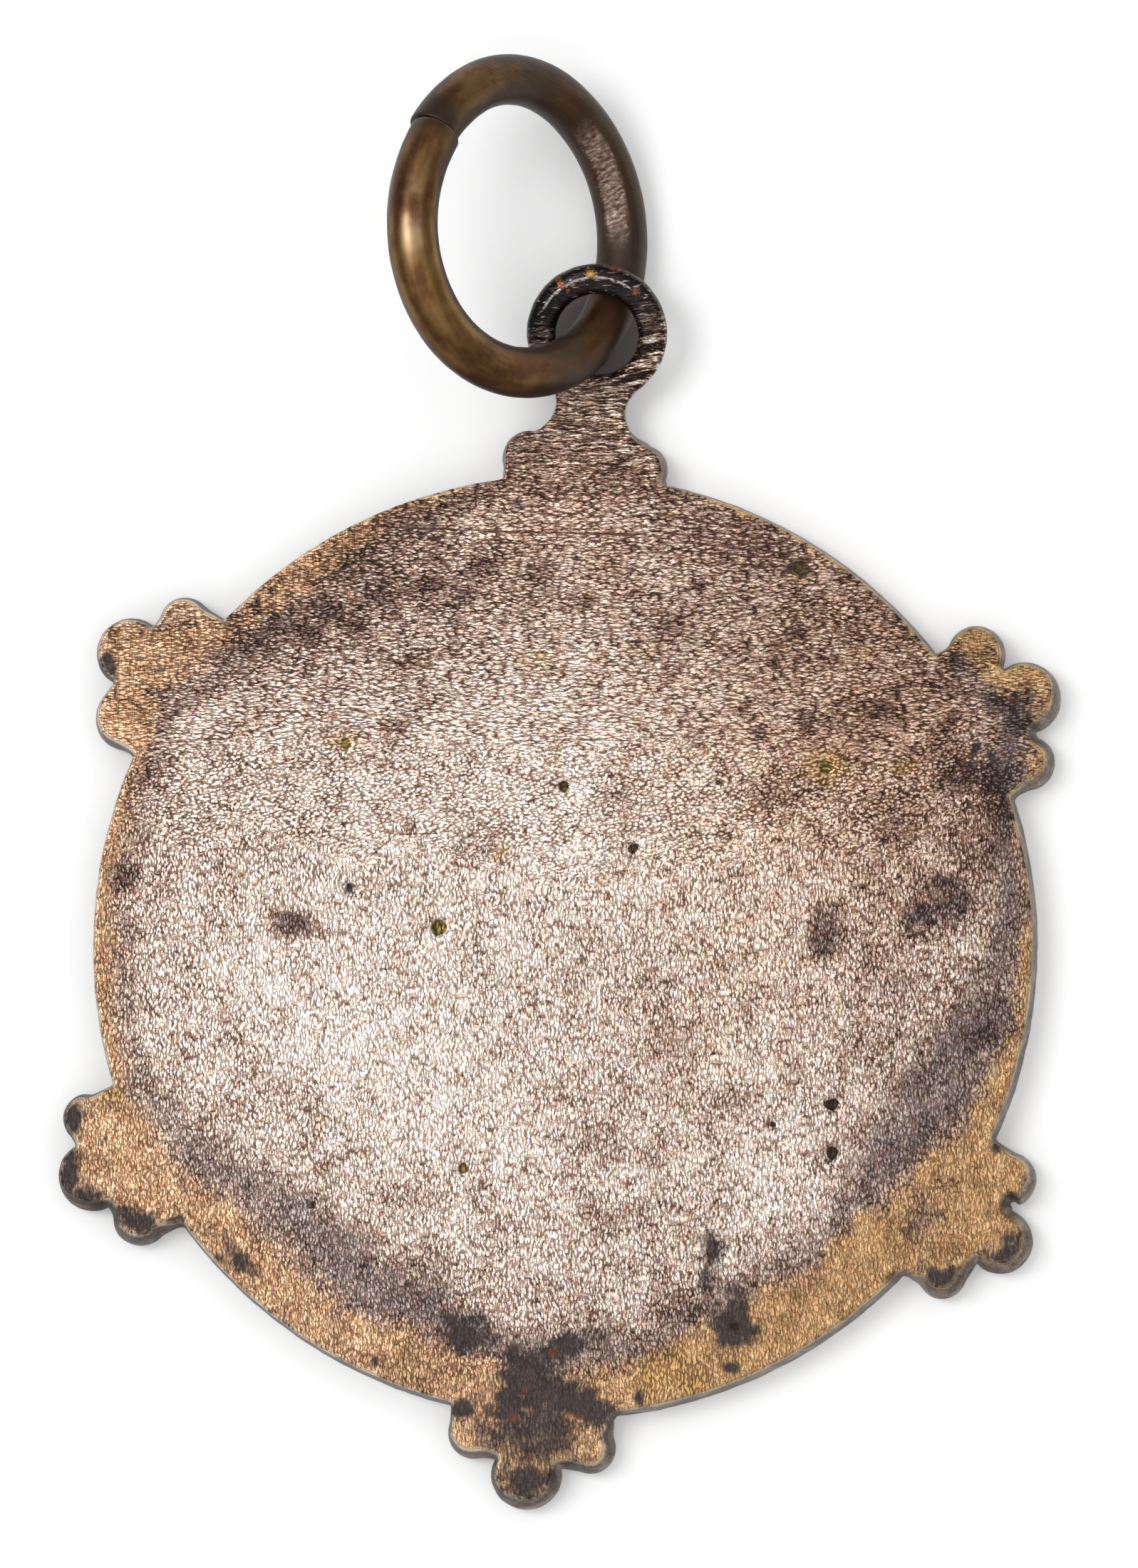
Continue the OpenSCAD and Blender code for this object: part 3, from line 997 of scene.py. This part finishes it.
class Finish:
    """A material while it is being made."""

    def __init__(self, name):
        self.material = bpy.data.materials.new(name)
        self.material.use_nodes = True
        self.tree = self.material.node_tree
        self.tree.nodes.clear()

    def node(self, kind, settings, inputs, output=0):
        """Adds a node: its settings, then each input's number, colour or link, and gives one output."""
        node = self.tree.nodes.new(kind)
        for key, setting in settings.items():
            if key == "stops":
                ramp = node.color_ramp
                for _ in range(len(setting) - 2):
                    ramp.elements.new(0.5)
                for element, (place, colour) in zip(ramp.elements, setting):
                    element.position = place
                    element.color = colour
            else:
                setattr(node, key, setting)
        for key, given in inputs.items():
            if isinstance(given, Value):
                self.tree.links.new(given.socket, node.inputs[key])
            else:
                node.inputs[key].default_value = given
        return Value(self, node.outputs[output])

    def math(self, operation, *values):
        return self.node("ShaderNodeMath", {"operation": operation}, dict(enumerate(values)))

    def mark(self, name, output="Fac"):
        """A value that the mesh holds at its points."""
        return self.node("ShaderNodeAttribute", {"attribute_name": name}, {}, output)

    def place(self):
        """Where a point is, in the medal's frame, in metres."""
        return self.node("ShaderNodeTexCoord", {}, {}, "Object")

    def ease(self, low, high, value):
        """0 at low, 1 at high, and a smooth S between them."""
        settings = {"interpolation_type": "SMOOTHSTEP"}
        return self.node("ShaderNodeMapRange", settings, {"Value": value, "From Min": low, "From Max": high})

    def ramp(self, stops, value):
        return self.node("ShaderNodeValToRGB", {"stops": stops}, {"Fac": value})

    def cast(self, colour, shade):
        """A colour multiplied by another."""
        return self.mix(1.0, colour, shade, "MULTIPLY")

    def mix(self, share, first, second, way="MIX"):
        settings = {"data_type": "RGBA", "blend_type": way, "clamp_factor": True}
        return self.node("ShaderNodeMix", settings, {0: share, 6: first, 7: second}, 2)

    def frame(self, where, start, turn, sizes):
        """Places seen from a start, turned, and measured in a size for each direction."""
        settings = {"vector_type": "TEXTURE"}
        inputs = {"Vector": where, "Location": start, "Rotation": (0, 0, turn), "Scale": sizes}
        return self.node("ShaderNodeMapping", settings, inputs)

    def noise(self, where, turn, sizes, seed, detail, output=0):
        """Noise in strokes: sizes are their lengths along the turn, across it and down, in where's unit."""
        placed = self.frame(where, (seed * 0.0731, seed * 0.0317, seed * 0.0173), turn, sizes)
        inputs = {"Vector": placed, "Scale": 1.0, "Detail": detail, "Roughness": 0.6}
        return self.node("ShaderNodeTexNoise", {"noise_dimensions": "3D"}, inputs, output)

    def cells(self, where, turn, long, thin, seed):
        """Struck grain in strokes: each cell's own random colour, and how far a point is from its middle."""
        placed = self.frame(where, (seed * 0.0731, seed * 0.0317, 0.0), turn, (long, thin, 1.0))
        inputs = {"Vector": placed, "Scale": 1.0, "Randomness": 1.0}
        own = self.node("ShaderNodeTexVoronoi", {"voronoi_dimensions": "2D"}, inputs, "Color")
        return own, Value(self, own.socket.node.outputs["Distance"])

    def split(self, colour):
        """The red, green and blue of a colour, as three values."""
        parts = self.node("ShaderNodeSeparateColor", {}, {"Color": colour}).socket.node.outputs
        return [Value(self, part) for part in parts]

    def scratch(self, where, start, end, width):
        """1 on a straight scratch between two pixels of the photograph, fading over its width."""
        start, end = seen(*start) * MM, seen(*end) * MM
        run = end - start
        placed = self.frame(where, (*start, 0), math.atan2(run[1], run[0]), (np.linalg.norm(run), 1, 1))
        along = self.node("ShaderNodeSeparateXYZ", {}, {"Vector": placed})
        across = Value(self, along.socket.node.outputs[1])
        ends = self.ease(0.5, 0.46, self.math("ABSOLUTE", along - 0.5))
        return self.ease(width * MM, width * MM * 0.3, self.math("ABSOLUTE", across)) * ends

    def spot(self, where, place, size, wobble):
        """1 on a small spot at a place in millimetres, with a ragged edge."""
        placed = self.frame(where, (place[0] * MM, place[1] * MM, 0), 0, (size * MM, size * MM, 1))
        flat = self.node("ShaderNodeVectorMath", {"operation": "MULTIPLY"}, {0: placed, 1: (1, 1, 0)})
        far = self.node("ShaderNodeVectorMath", {"operation": "LENGTH"}, {0: flat}, "Value")
        return self.ease(1.15, 0.75, far + wobble)

    def metal(self, colour, roughness, metallic, bump, depth, coat=0.0):
        """The finished shader, with a height in metres per unit of bump and a thin clear film."""
        normal = self.node("ShaderNodeBump", {}, {"Height": bump, "Distance": depth, "Strength": 1.0})
        inputs = {"Base Color": colour, "Roughness": roughness, "Metallic": metallic, "Normal": normal}
        film = {"Coat Weight": coat, "Coat Roughness": 0.28}
        self.node_to_output(self.node("ShaderNodeBsdfPrincipled", {}, inputs | film))
        return self.material

    def node_to_output(self, shader):
        output = self.tree.nodes.new("ShaderNodeOutputMaterial")
        self.tree.links.new(shader.socket, output.inputs["Surface"])


def srgb(red, green, blue):
    """An opaque colour as the eye reads it on a screen, turned into the linear values that light uses."""
    linear = [c / 12.92 if c <= 0.04045 else ((c + 0.055) / 1.055) ** 2.4 for c in (red, green, blue)]
    return (*linear, 1.0)


# Ramps from the darkest grain to the lightest: place along the ramp, then colour
TARNISH = [
    (0.0, srgb(0.12, 0.09, 0.075)),
    (0.2, srgb(0.30, 0.225, 0.19)),
    (0.38, srgb(0.49, 0.395, 0.35)),
    (0.55, srgb(0.67, 0.59, 0.54)),
    (0.72, srgb(0.83, 0.775, 0.74)),
    (0.95, srgb(0.985, 0.975, 0.965)),
]
BRASS = [
    (0.0, srgb(0.18, 0.14, 0.12)),
    (0.2, srgb(0.37, 0.29, 0.23)),
    (0.4, srgb(0.57, 0.46, 0.36)),
    (0.58, srgb(0.77, 0.64, 0.52)),
    (0.75, srgb(0.91, 0.80, 0.67)),
    (0.95, srgb(0.99, 0.95, 0.88)),
]
PATINA = [
    (0.0, srgb(0.16, 0.14, 0.13)),
    (0.5, srgb(0.28, 0.24, 0.23)),
    (0.8, srgb(0.38, 0.33, 0.31)),
    (1.0, srgb(0.66, 0.60, 0.56)),
]
SOOT = [
    (0.0, srgb(0.09, 0.075, 0.07)),
    (0.4, srgb(0.23, 0.20, 0.19)),
    (0.8, srgb(0.66, 0.62, 0.60)),
]
DUSK = [
    (0.0, srgb(0.17, 0.15, 0.15)),
    (0.25, srgb(0.34, 0.295, 0.295)),
    (0.45, srgb(0.49, 0.44, 0.435)),
    (0.65, srgb(0.69, 0.64, 0.625)),
    (0.9, srgb(0.97, 0.94, 0.93)),
]

# Colours laid by a share: the first where it is 0 and the second where it is 1
SILVER_CAST = srgb(1.0, 1.0, 1.0), srgb(1.0, 0.94, 0.88)
BRASS_CAST = srgb(1.0, 0.97, 0.945), srgb(1.0, 0.975, 0.88)
PATCH_CAST = srgb(0.985, 1.0, 1.0), srgb(1.0, 0.965, 0.94)
STROKE_CAST = srgb(1.0, 0.975, 0.985), srgb(1.0, 0.99, 0.955)
OLIVE_STAIN = srgb(0.36, 0.28, 0.12), srgb(0.78, 0.62, 0.34)
OLIVE_PIT = srgb(0.24, 0.20, 0.09), srgb(0.52, 0.44, 0.20)
DARK_WALL = srgb(0.22, 0.18, 0.16), srgb(0.32, 0.27, 0.24)
LIGHT_WALL = srgb(0.50, 0.44, 0.40), srgb(0.66, 0.60, 0.54)
RUBBED_EDGE_AND_HIGHLIGHT = srgb(0.89, 0.80, 0.69), srgb(0.80, 0.66, 0.48)
# Colours of single marks
SCRATCH_BROWN = srgb(0.36, 0.22, 0.19)
PIT_BROWN = srgb(0.20, 0.15, 0.11)
EMBER_BROWN = srgb(0.45, 0.24, 0.16)
GLINT_GREY = srgb(0.66, 0.62, 0.60)
RUST_ORANGE = srgb(0.50, 0.27, 0.15)
OCHRE = srgb(0.55, 0.41, 0.22)

# Scratches, and the scores beside the lug's foot: from one pixel of the photograph to another, the width
# in millimetres, and how deep each one is
SCRATCHES = [
    ((482, 738), (700, 745), 0.05, 0.8),
    ((690, 746), (912, 750), 0.06, 1.0),
    ((519, 1203), (557, 1170), 0.04, 0.8),
    ((555, 1171), (615, 1170), 0.04, 0.8),
    ((925, 722), (1040, 741), 0.055, 1.0),
    ((918, 735), (1085, 758), 0.055, 0.7),
    ((935, 748), (1100, 765), 0.055, 1.0),
    ((950, 760), (1118, 778), 0.055, 0.8),
    ((985, 775), (1130, 786), 0.055, 0.9),
    ((960, 788), (1090, 794), 0.055, 0.5),
]
# Red-brown specks inside the black patches, at pixels of the photograph, and their size in millimetres
EMBERS = [(776, 1900), (738, 1951), (813, 1989), (720, 1991), (1031, 1862), (745, 2046)]
EMBER_SIZE = 0.13
# Specks of rust on the eyelet and their sizes, in the same way, a larger one of ochre, and how high the
# eyelet's top lies
RUST = [
    ((784, 393), 0.12), ((788, 401), 0.13), ((860, 375), 0.12), ((892, 409), 0.13),
    ((797, 408), 0.06), ((806, 398), 0.06), ((869, 379), 0.07),
]
OCHRE_AT, OCHRE_SIZE = (829, 384), 0.17
EYELET_TOP = 3.0

# The grain: the way that upright strokes run, how far strokes sway, and how deep the grain is, in metres
UPRIGHT = math.radians(93)
SWAY = (0.00018, 0.00018, 0.0)
GRAIN_DEPTH = 0.000018
# Its strokes: the way they run, how long and how thin they are in metres, and the seed
ROUND_STROKES = 0.3, 0.00014, 0.000108, 1
UPRIGHT_STROKES = UPRIGHT, 0.0002, 0.000088, 2
LEVEL_STROKES = MEDAL_TURN, 0.00023, 0.000088, 3
# The metal's patterns: the way they run, their sizes along it, across it and down in metres, the seed, and
# how finely they are broken up
PATCHES = 0.0, (0.0009, 0.0008, 0.0008), 4, 3.0
UNEVEN = 0.0, (0.00036, 0.0003, 0.0003), 13, 2.0
BENDS = 0.0, (0.00045, 0.00045, 0.00045), 9, 1.5
FINE = MEDAL_TURN, (0.00009, 0.00006, 0.0001), 8, 1.0
DRAWN = MEDAL_TURN, (0.00048, 0.000062, 0.0001), 12, 1.5
COMBED = UPRIGHT, (0.00045, 0.000055, 0.0001), 15, 1.5
SPECKS = 0.0, (0.00032, 0.00026, 0.0003), 5, 1.0
WARM_PATCHES = 0.0, (0.00045, 0.0004, 0.0004), 14, 2.0
FILING = math.radians(13), (0.0014, 0.00012, 0.0004), 6, 1.0
FLECKS = math.radians(8), (0.0003, 0.00007, 0.0002), 11, 1.0


class WornBrass(Finish):
    """The struck medal: granular silver-brown tarnish, brass at the rim, black blotches and pits.

    The grain is laid first, and each colour step lays its own colours over those of the step before.
    """

    def __init__(self):
        super().__init__("worn_brass")
        self.where = self.place()
        self.patches = (self.noise(self.where, *PATCHES) - 0.5) * 2.0
        self.uneven = self.noise(self.where, *UNEVEN)
        self.golden, self.blackened = self.mark("gold"), self.mark("black")
        self.soot, self.side, self.lug = self.mark("soot"), self.mark("side"), self.mark("lug")
        self.filed = self.mark("filed")
        self.filing = self.ease(0.36, 0.64, self.noise(self.where, *FILING))
        self.scratches = sum(
            self.scratch(self.where, start, end, width) * share for start, end, width, share in SCRATCHES
        )
        self.lay_grain()

    def strokes(self, swayed):
        """Struck grain: round strokes, upright ones low on the disc and level ones near its top.

        Keeps each stroke's tint and how far a point is from the stroke's middle, and gives its own value.
        """
        round_own, round_far = self.cells(swayed, *ROUND_STROKES)
        up_own, up_far = self.cells(swayed, *UPRIGHT_STROKES)
        level_own, level_far = self.cells(swayed, *LEVEL_STROKES)
        wander = self.patches * 0.3 + (self.uneven - 0.5) * 1.3
        self.is_up = self.ease(0.3, 0.7, self.mark("upright") + wander)
        is_level = self.ease(0.3, 0.7, self.mark("level") + wander)
        lower = self.mix(self.is_up, round_own, up_own)
        own, self.tint, _ = self.split(self.mix(is_level, lower, level_own))
        far = round_far + (up_far - round_far) * self.is_up
        self.far = far + (level_far - far) * is_level
        return own

    def lay_grain(self):
        """How light each point is: the medal's tone, varied by strokes, dark seams, filing and scratches."""
        bent = self.noise(self.where, *BENDS, "Color")
        settings = {"operation": "MULTIPLY_ADD"}
        swayed = self.node("ShaderNodeVectorMath", settings, {0: bent, 1: SWAY, 2: self.where})
        own = self.strokes(swayed)
        self.fine = self.noise(swayed, *FINE)
        drawn = self.noise(swayed, *DRAWN)
        combed = self.noise(swayed, *COMBED)
        specks = self.ease(0.63, 0.72, self.noise(self.where, *SPECKS))
        self.level = self.mark("tone") + self.patches * 0.15 - specks * 0.12
        self.blobs = self.ease(0.68, 0.3, self.far - (self.level - 0.6) * 0.45)
        seams = (self.blobs - 0.62) * (0.12 + self.ease(0.32, 0.62, self.uneven) * 0.4)
        grain = ((own - 0.5) * 0.34 + seams) * (1 - self.lug * 0.6)
        grain = grain + (self.fine - 0.5) * 0.8 - (self.uneven - 0.5) * 0.3
        soft = self.math("MAXIMUM", self.mark("brass"), self.mark("dusk") * 0.85)
        grain = grain * (0.87 - self.is_up * 0.07 - soft * 0.34) + (combed - 0.5) * soft * 0.65
        self.grain = grain + (drawn - 0.5) * self.lug * 2.0
        light = self.level + self.grain + self.filed * ((self.filing - 0.5) * 0.8 - 0.2)
        self.light = light - self.scratches * 0.2
        self.ragged = self.patches * 0.3 + self.grain

    def bare(self):
        """Pale tarnish, grey-purple tarnish inside the rim and the rim's brass, with their warm patches."""
        tan = self.mix(self.mark("tan"), *SILVER_CAST)
        tarnish = self.cast(self.ramp(TARNISH, self.light), tan)
        dusk = self.ramp(DUSK, self.light)
        colour = self.mix(self.ease(0.1, 1.0, self.mark("dusk") + self.ragged * 0.7) * 0.85, tarnish, dusk)
        contrast = 1.15 - self.golden * 0.4
        brass_light = 0.5 + (self.level - 0.6) * 0.5 + self.grain * contrast + self.patches * 0.16
        brass = self.cast(self.ramp(BRASS, brass_light), self.mix(self.golden, *BRASS_CAST))
        colour = self.mix(self.ease(0.12, 0.85, self.mark("brass") + self.ragged * 0.8), colour, brass)
        warm = self.ease(0.42, 0.6, self.noise(self.where, *WARM_PATCHES))
        colour = self.cast(colour, self.mix(warm, *PATCH_CAST))
        return self.cast(colour, self.mix(self.ease(0.35, 0.65, self.tint), *STROKE_CAST))

    def stained(self, colour):
        """Scratches, olive stains, black patches with their specks, and pits."""
        colour = self.mix(self.scratches * 0.75, colour, SCRATCH_BROWN)
        colour = self.mix(self.mark("olive") * 0.7, colour, self.mix(self.blobs, *OLIVE_STAIN))
        eaten = self.ragged * self.ease(0.0, 0.4, self.blackened) * 0.28
        self.black_share = self.ease(0.08, 0.84, self.blackened - eaten)
        black = self.ramp(PATINA, 0.4 + self.grain * 1.1 + self.patches * 0.15)
        colour = self.mix(self.black_share, colour, black)
        for place in EMBERS:
            ember = self.spot(self.where, seen(*place), EMBER_SIZE, (self.fine - 0.5) * 3.0)
            colour = self.mix(ember * 0.6, colour, EMBER_BROWN)
        green = self.ease(0.0, 0.8, self.mark("green"))
        pitted = self.mix(green, PIT_BROWN, self.mix(self.blobs, *OLIVE_PIT))
        return self.mix(self.ease(0.3, 0.6, self.mark("pit") + self.ragged * 0.3), colour, pitted)

    def sooty(self, colour):
        """The eyelet's black top, with pale flecks and a painted highlight along its outer edge."""
        flecks = self.noise(self.where, *FLECKS)
        black = self.ramp(SOOT, 0.1 + (self.light - 0.5) * 0.5 + self.ease(0.6, 0.72, flecks) * 0.7)
        colour = self.mix(self.soot, colour, black)
        broken = self.ease(0.3, 0.5, flecks + (self.fine - 0.5) * 0.4)
        return self.mix(self.ease(0.5, 0.85, self.mark("glint")) * broken, colour, GLINT_GREY)

    def walled(self, colour):
        """The cloudy side walls, and the line along the back's edge: rubbed bare, and lightened as a painted
        highlight.
        """
        self.cloudy = (self.uneven - 0.5) * 0.9 + (self.fine - 0.5) * 0.9
        dark, light = self.mix(self.golden, *DARK_WALL), self.mix(self.golden, *LIGHT_WALL)
        wall = self.mix(self.ease(-0.4, 0.8, self.patches + self.cloudy), dark, light)
        colour = self.mix(self.side, colour, wall)
        # The rubbed edge, lightened also as a painted highlight
        rub = self.mark("rub") * self.ease(-0.4, 0.3, self.patches + self.grain)
        rub = rub * (1 - self.soot) * (1 - self.lug) * (1 - self.black_share * 0.65)
        return self.mix(rub, colour, self.mix(self.golden, *RUBBED_EDGE_AND_HIGHLIGHT))

    def rusty(self, colour):
        """Specks of rust and ochre on the eyelet."""
        wobble = (self.fine - 0.5) * 2.5
        for place, size in RUST:
            speck = self.spot(self.where, seen(*place, EYELET_TOP), size, wobble)
            colour = self.mix(speck * 0.85, colour, RUST_ORANGE)
        speck = self.spot(self.where, seen(*OCHRE_AT, EYELET_TOP), OCHRE_SIZE, wobble)
        return self.mix(speck, colour, OCHRE)

    def finished(self):
        """The material, with its colours laid in order and its relief, rougher where it is black."""
        colour = self.rusty(self.walled(self.sooty(self.stained(self.bare()))))
        domes = self.ease(0.68, 0.3, self.far) * (1 - self.soot * 0.7)
        domes = domes * (1 - self.blackened * 0.6) * (1 - self.side)
        height = domes + self.filed * self.filing * 1.5 + self.side * self.cloudy
        roughness = 0.36 + self.black_share * 0.2 + self.side * 0.1 - self.soot * 0.05
        return self.metal(colour, roughness, 0.75, height, GRAIN_DEPTH)


# The wire, from its darkest brown to its lightest, and its casts from the ruddy to the olive
WIRE = [
    (0.1, srgb(0.17, 0.12, 0.08)),
    (0.4, srgb(0.38, 0.28, 0.18)),
    (0.6, srgb(0.55, 0.43, 0.28)),
    (0.9, srgb(0.80, 0.68, 0.48)),
]
WIRE_CAST = srgb(1.0, 0.90, 0.80), srgb(1.0, 0.98, 0.86)
# The colour of the painted highlight on the ring
PAINTED_HIGHLIGHT_COLOUR = srgb(0.92, 0.86, 0.74)
# The near-black of the wire's dirt and of its painted shade
GRIME_AND_SHADE = srgb(0.17, 0.115, 0.075)
WIRE_RELIEF = 0.000014
WIRE_FILM = 0.15
# Its patterns, given as the medal's are, with the long runs measured along the wire in millimetres
HAIRS = math.radians(-22), (0.0009, 0.00005, 0.0006), 1, 1.5
RUNS = 0.0, (1.8, 0.3, 0.3), 3, 2.0
CLOUD = 0.0, (0.0016, 0.0016, 0.0016), 2, 3.0
FINE_WEAR = math.radians(30), (0.00022, 0.00009, 0.00014), 4, 1.5


def aged_wire():
    """The ring: brown aged brass with an olive cast, black in places with dirt and painted shade, greyish on
    its worn flat.
    """
    f = Finish("aged_wire")
    wire, where = f.mark("wire", "Vector"), f.place()
    hairs, runs = f.noise(where, *HAIRS), f.noise(wire, *RUNS)
    cloud, fine = f.noise(where, *CLOUD), f.noise(where, *FINE_WEAR)
    grime, worn, handled = f.mark("grime"), f.mark("worn"), f.mark("handled")
    light = 0.46 + (cloud - 0.5) * 0.8 + (runs - 0.5) * 0.25 + (hairs - 0.5) * 0.5 * handled
    olive = f.ease(0.38, 0.62, cloud + (runs - 0.5) * 0.4)
    colour = f.cast(f.ramp(WIRE, light), f.mix(olive, *WIRE_CAST))
    # The painted highlight, laid over the wire's colour
    colour = f.mix(f.mark("bright") * f.ease(0.3, 0.6, cloud) * 0.2, colour, PAINTED_HIGHLIGHT_COLOUR)
    # Dirt and painted shade: the wire goes near-black along dirty runs and where it faces down
    grimy_and_shaded = f.ease(0.15, 0.95, grime + (cloud - 0.5) * 1.2 + (hairs - 0.5) * handled * 1.2)
    colour = f.mix(grimy_and_shaded * 0.88, colour, GRIME_AND_SHADE)
    rubbed = f.ramp(TARNISH, 0.36 + (fine - 0.5) * 1.1 + (cloud - 0.5) * 0.5)
    colour = f.mix(worn * f.ease(0.25, 0.45, cloud + (fine - 0.5) * 0.4) * 0.9, colour, rubbed)
    roughness = 0.35 + grimy_and_shaded * 0.18 + (cloud - 0.5) * 0.15
    height = hairs * handled + fine * worn + runs * 0.3
    return f.metal(colour, roughness, 0.9 - grimy_and_shaded * 0.3, height, WIRE_RELIEF, WIRE_FILM)


# The deep shade on the table under the eyelet's hole: its place in pixels and its radius in millimetres
SHADE_AT = (842, 466)
SHADE_R = 1.95


def table_top():
    """The white table, with the deep shade that lies on it under the eyelet's hole."""
    f = Finish("table_top")
    lit = 1 - f.spot(f.place(), seen(*SHADE_AT, 0.0), SHADE_R, 0.0)
    white = f.mix(lit, (0.12, 0.105, 0.095, 1), (0.93, 0.93, 0.93, 1))
    glow = f.mix(lit, (0.16, 0.14, 0.13, 1), (1.0, 1.0, 1.0, 1))
    inputs = {"Base Color": white, "Roughness": 0.9, "Emission Color": glow, "Emission Strength": 0.16}
    f.node_to_output(f.node("ShaderNodeBsdfPrincipled", {}, inputs))
    return f.material


# The table, the light and the camera


def table():
    """A square table top at the height 0, half a side away from the origin on each side."""
    half = 0.6
    corners = [(x * half, y * half, 0) for x, y in ((-1, -1), (1, -1), (1, 1), (-1, 1))]
    mesh = bpy.data.meshes.new("table")
    mesh.from_pydata(corners, [], [(0, 1, 2, 3)])
    mesh.materials.append(table_top())
    floor = bpy.data.objects.new("table", mesh)
    bpy.context.scene.collection.objects.link(floor)


def lamp(name, toward, distance, width, height, watts):
    """A soft panel that stands off the medal in a direction and faces it."""
    light = bpy.data.lights.new(name, "AREA")
    light.shape = "RECTANGLE"
    light.size, light.size_y = width, height
    light.energy = watts
    holder = bpy.data.objects.new(name, light)
    toward = Vector(toward).normalized()
    facing = toward.to_track_quat("Z", "Y").to_matrix().to_4x4()
    holder.matrix_world = Matrix.Translation(toward * distance) @ facing
    bpy.context.scene.collection.objects.link(holder)


def daylight(strength):
    """Even white light from all round."""
    world = bpy.data.worlds.new("daylight")
    world.use_nodes = True
    sky = world.node_tree.nodes["Background"].inputs
    sky["Color"].default_value = (1, 1, 1, 1)
    sky["Strength"].default_value = strength
    bpy.context.scene.world = world


def camera():
    """The camera at the photograph's angle, with the photograph's whole frame as its view."""
    lens = bpy.data.cameras.new("camera")
    lens.sensor_fit = "VERTICAL"
    lens.sensor_height = 24.0
    lens.lens = lens.sensor_height * EYE_DISTANCE / (PHOTO_H / PX_PER_MM)
    lens.clip_start = 0.01
    holder = bpy.data.objects.new("camera", lens)
    turned = np.eye(4)
    turned[:3] = np.column_stack([screen_right, screen_up, towards_eye, eye * MM])
    holder.matrix_world = Matrix(turned.tolist())
    bpy.context.scene.collection.objects.link(holder)
    bpy.context.scene.camera = holder


camera()
table()
daylight(0.3)
lamp("overhead", toward=[0, 0, 1.0], distance=0.9, width=1.8, height=1.8, watts=8.2)
key_side = -0.42 * right + 0.16 * up + [0, 0, 1.0]
lamp("key", toward=key_side, distance=0.5, width=0.14, height=0.2, watts=0.7)
bpy.context.scene.view_settings.view_transform = "Standard"

places, faces, marks = medal()
add_piece("struck_medal", bend(places), faces, marks, WornBrass().finished(), "worn_brass", "medal_body")
places, faces, marks = ring()
add_piece("split_ring", places, faces, marks, aged_wire(), "aged_wire", "suspension_ring")
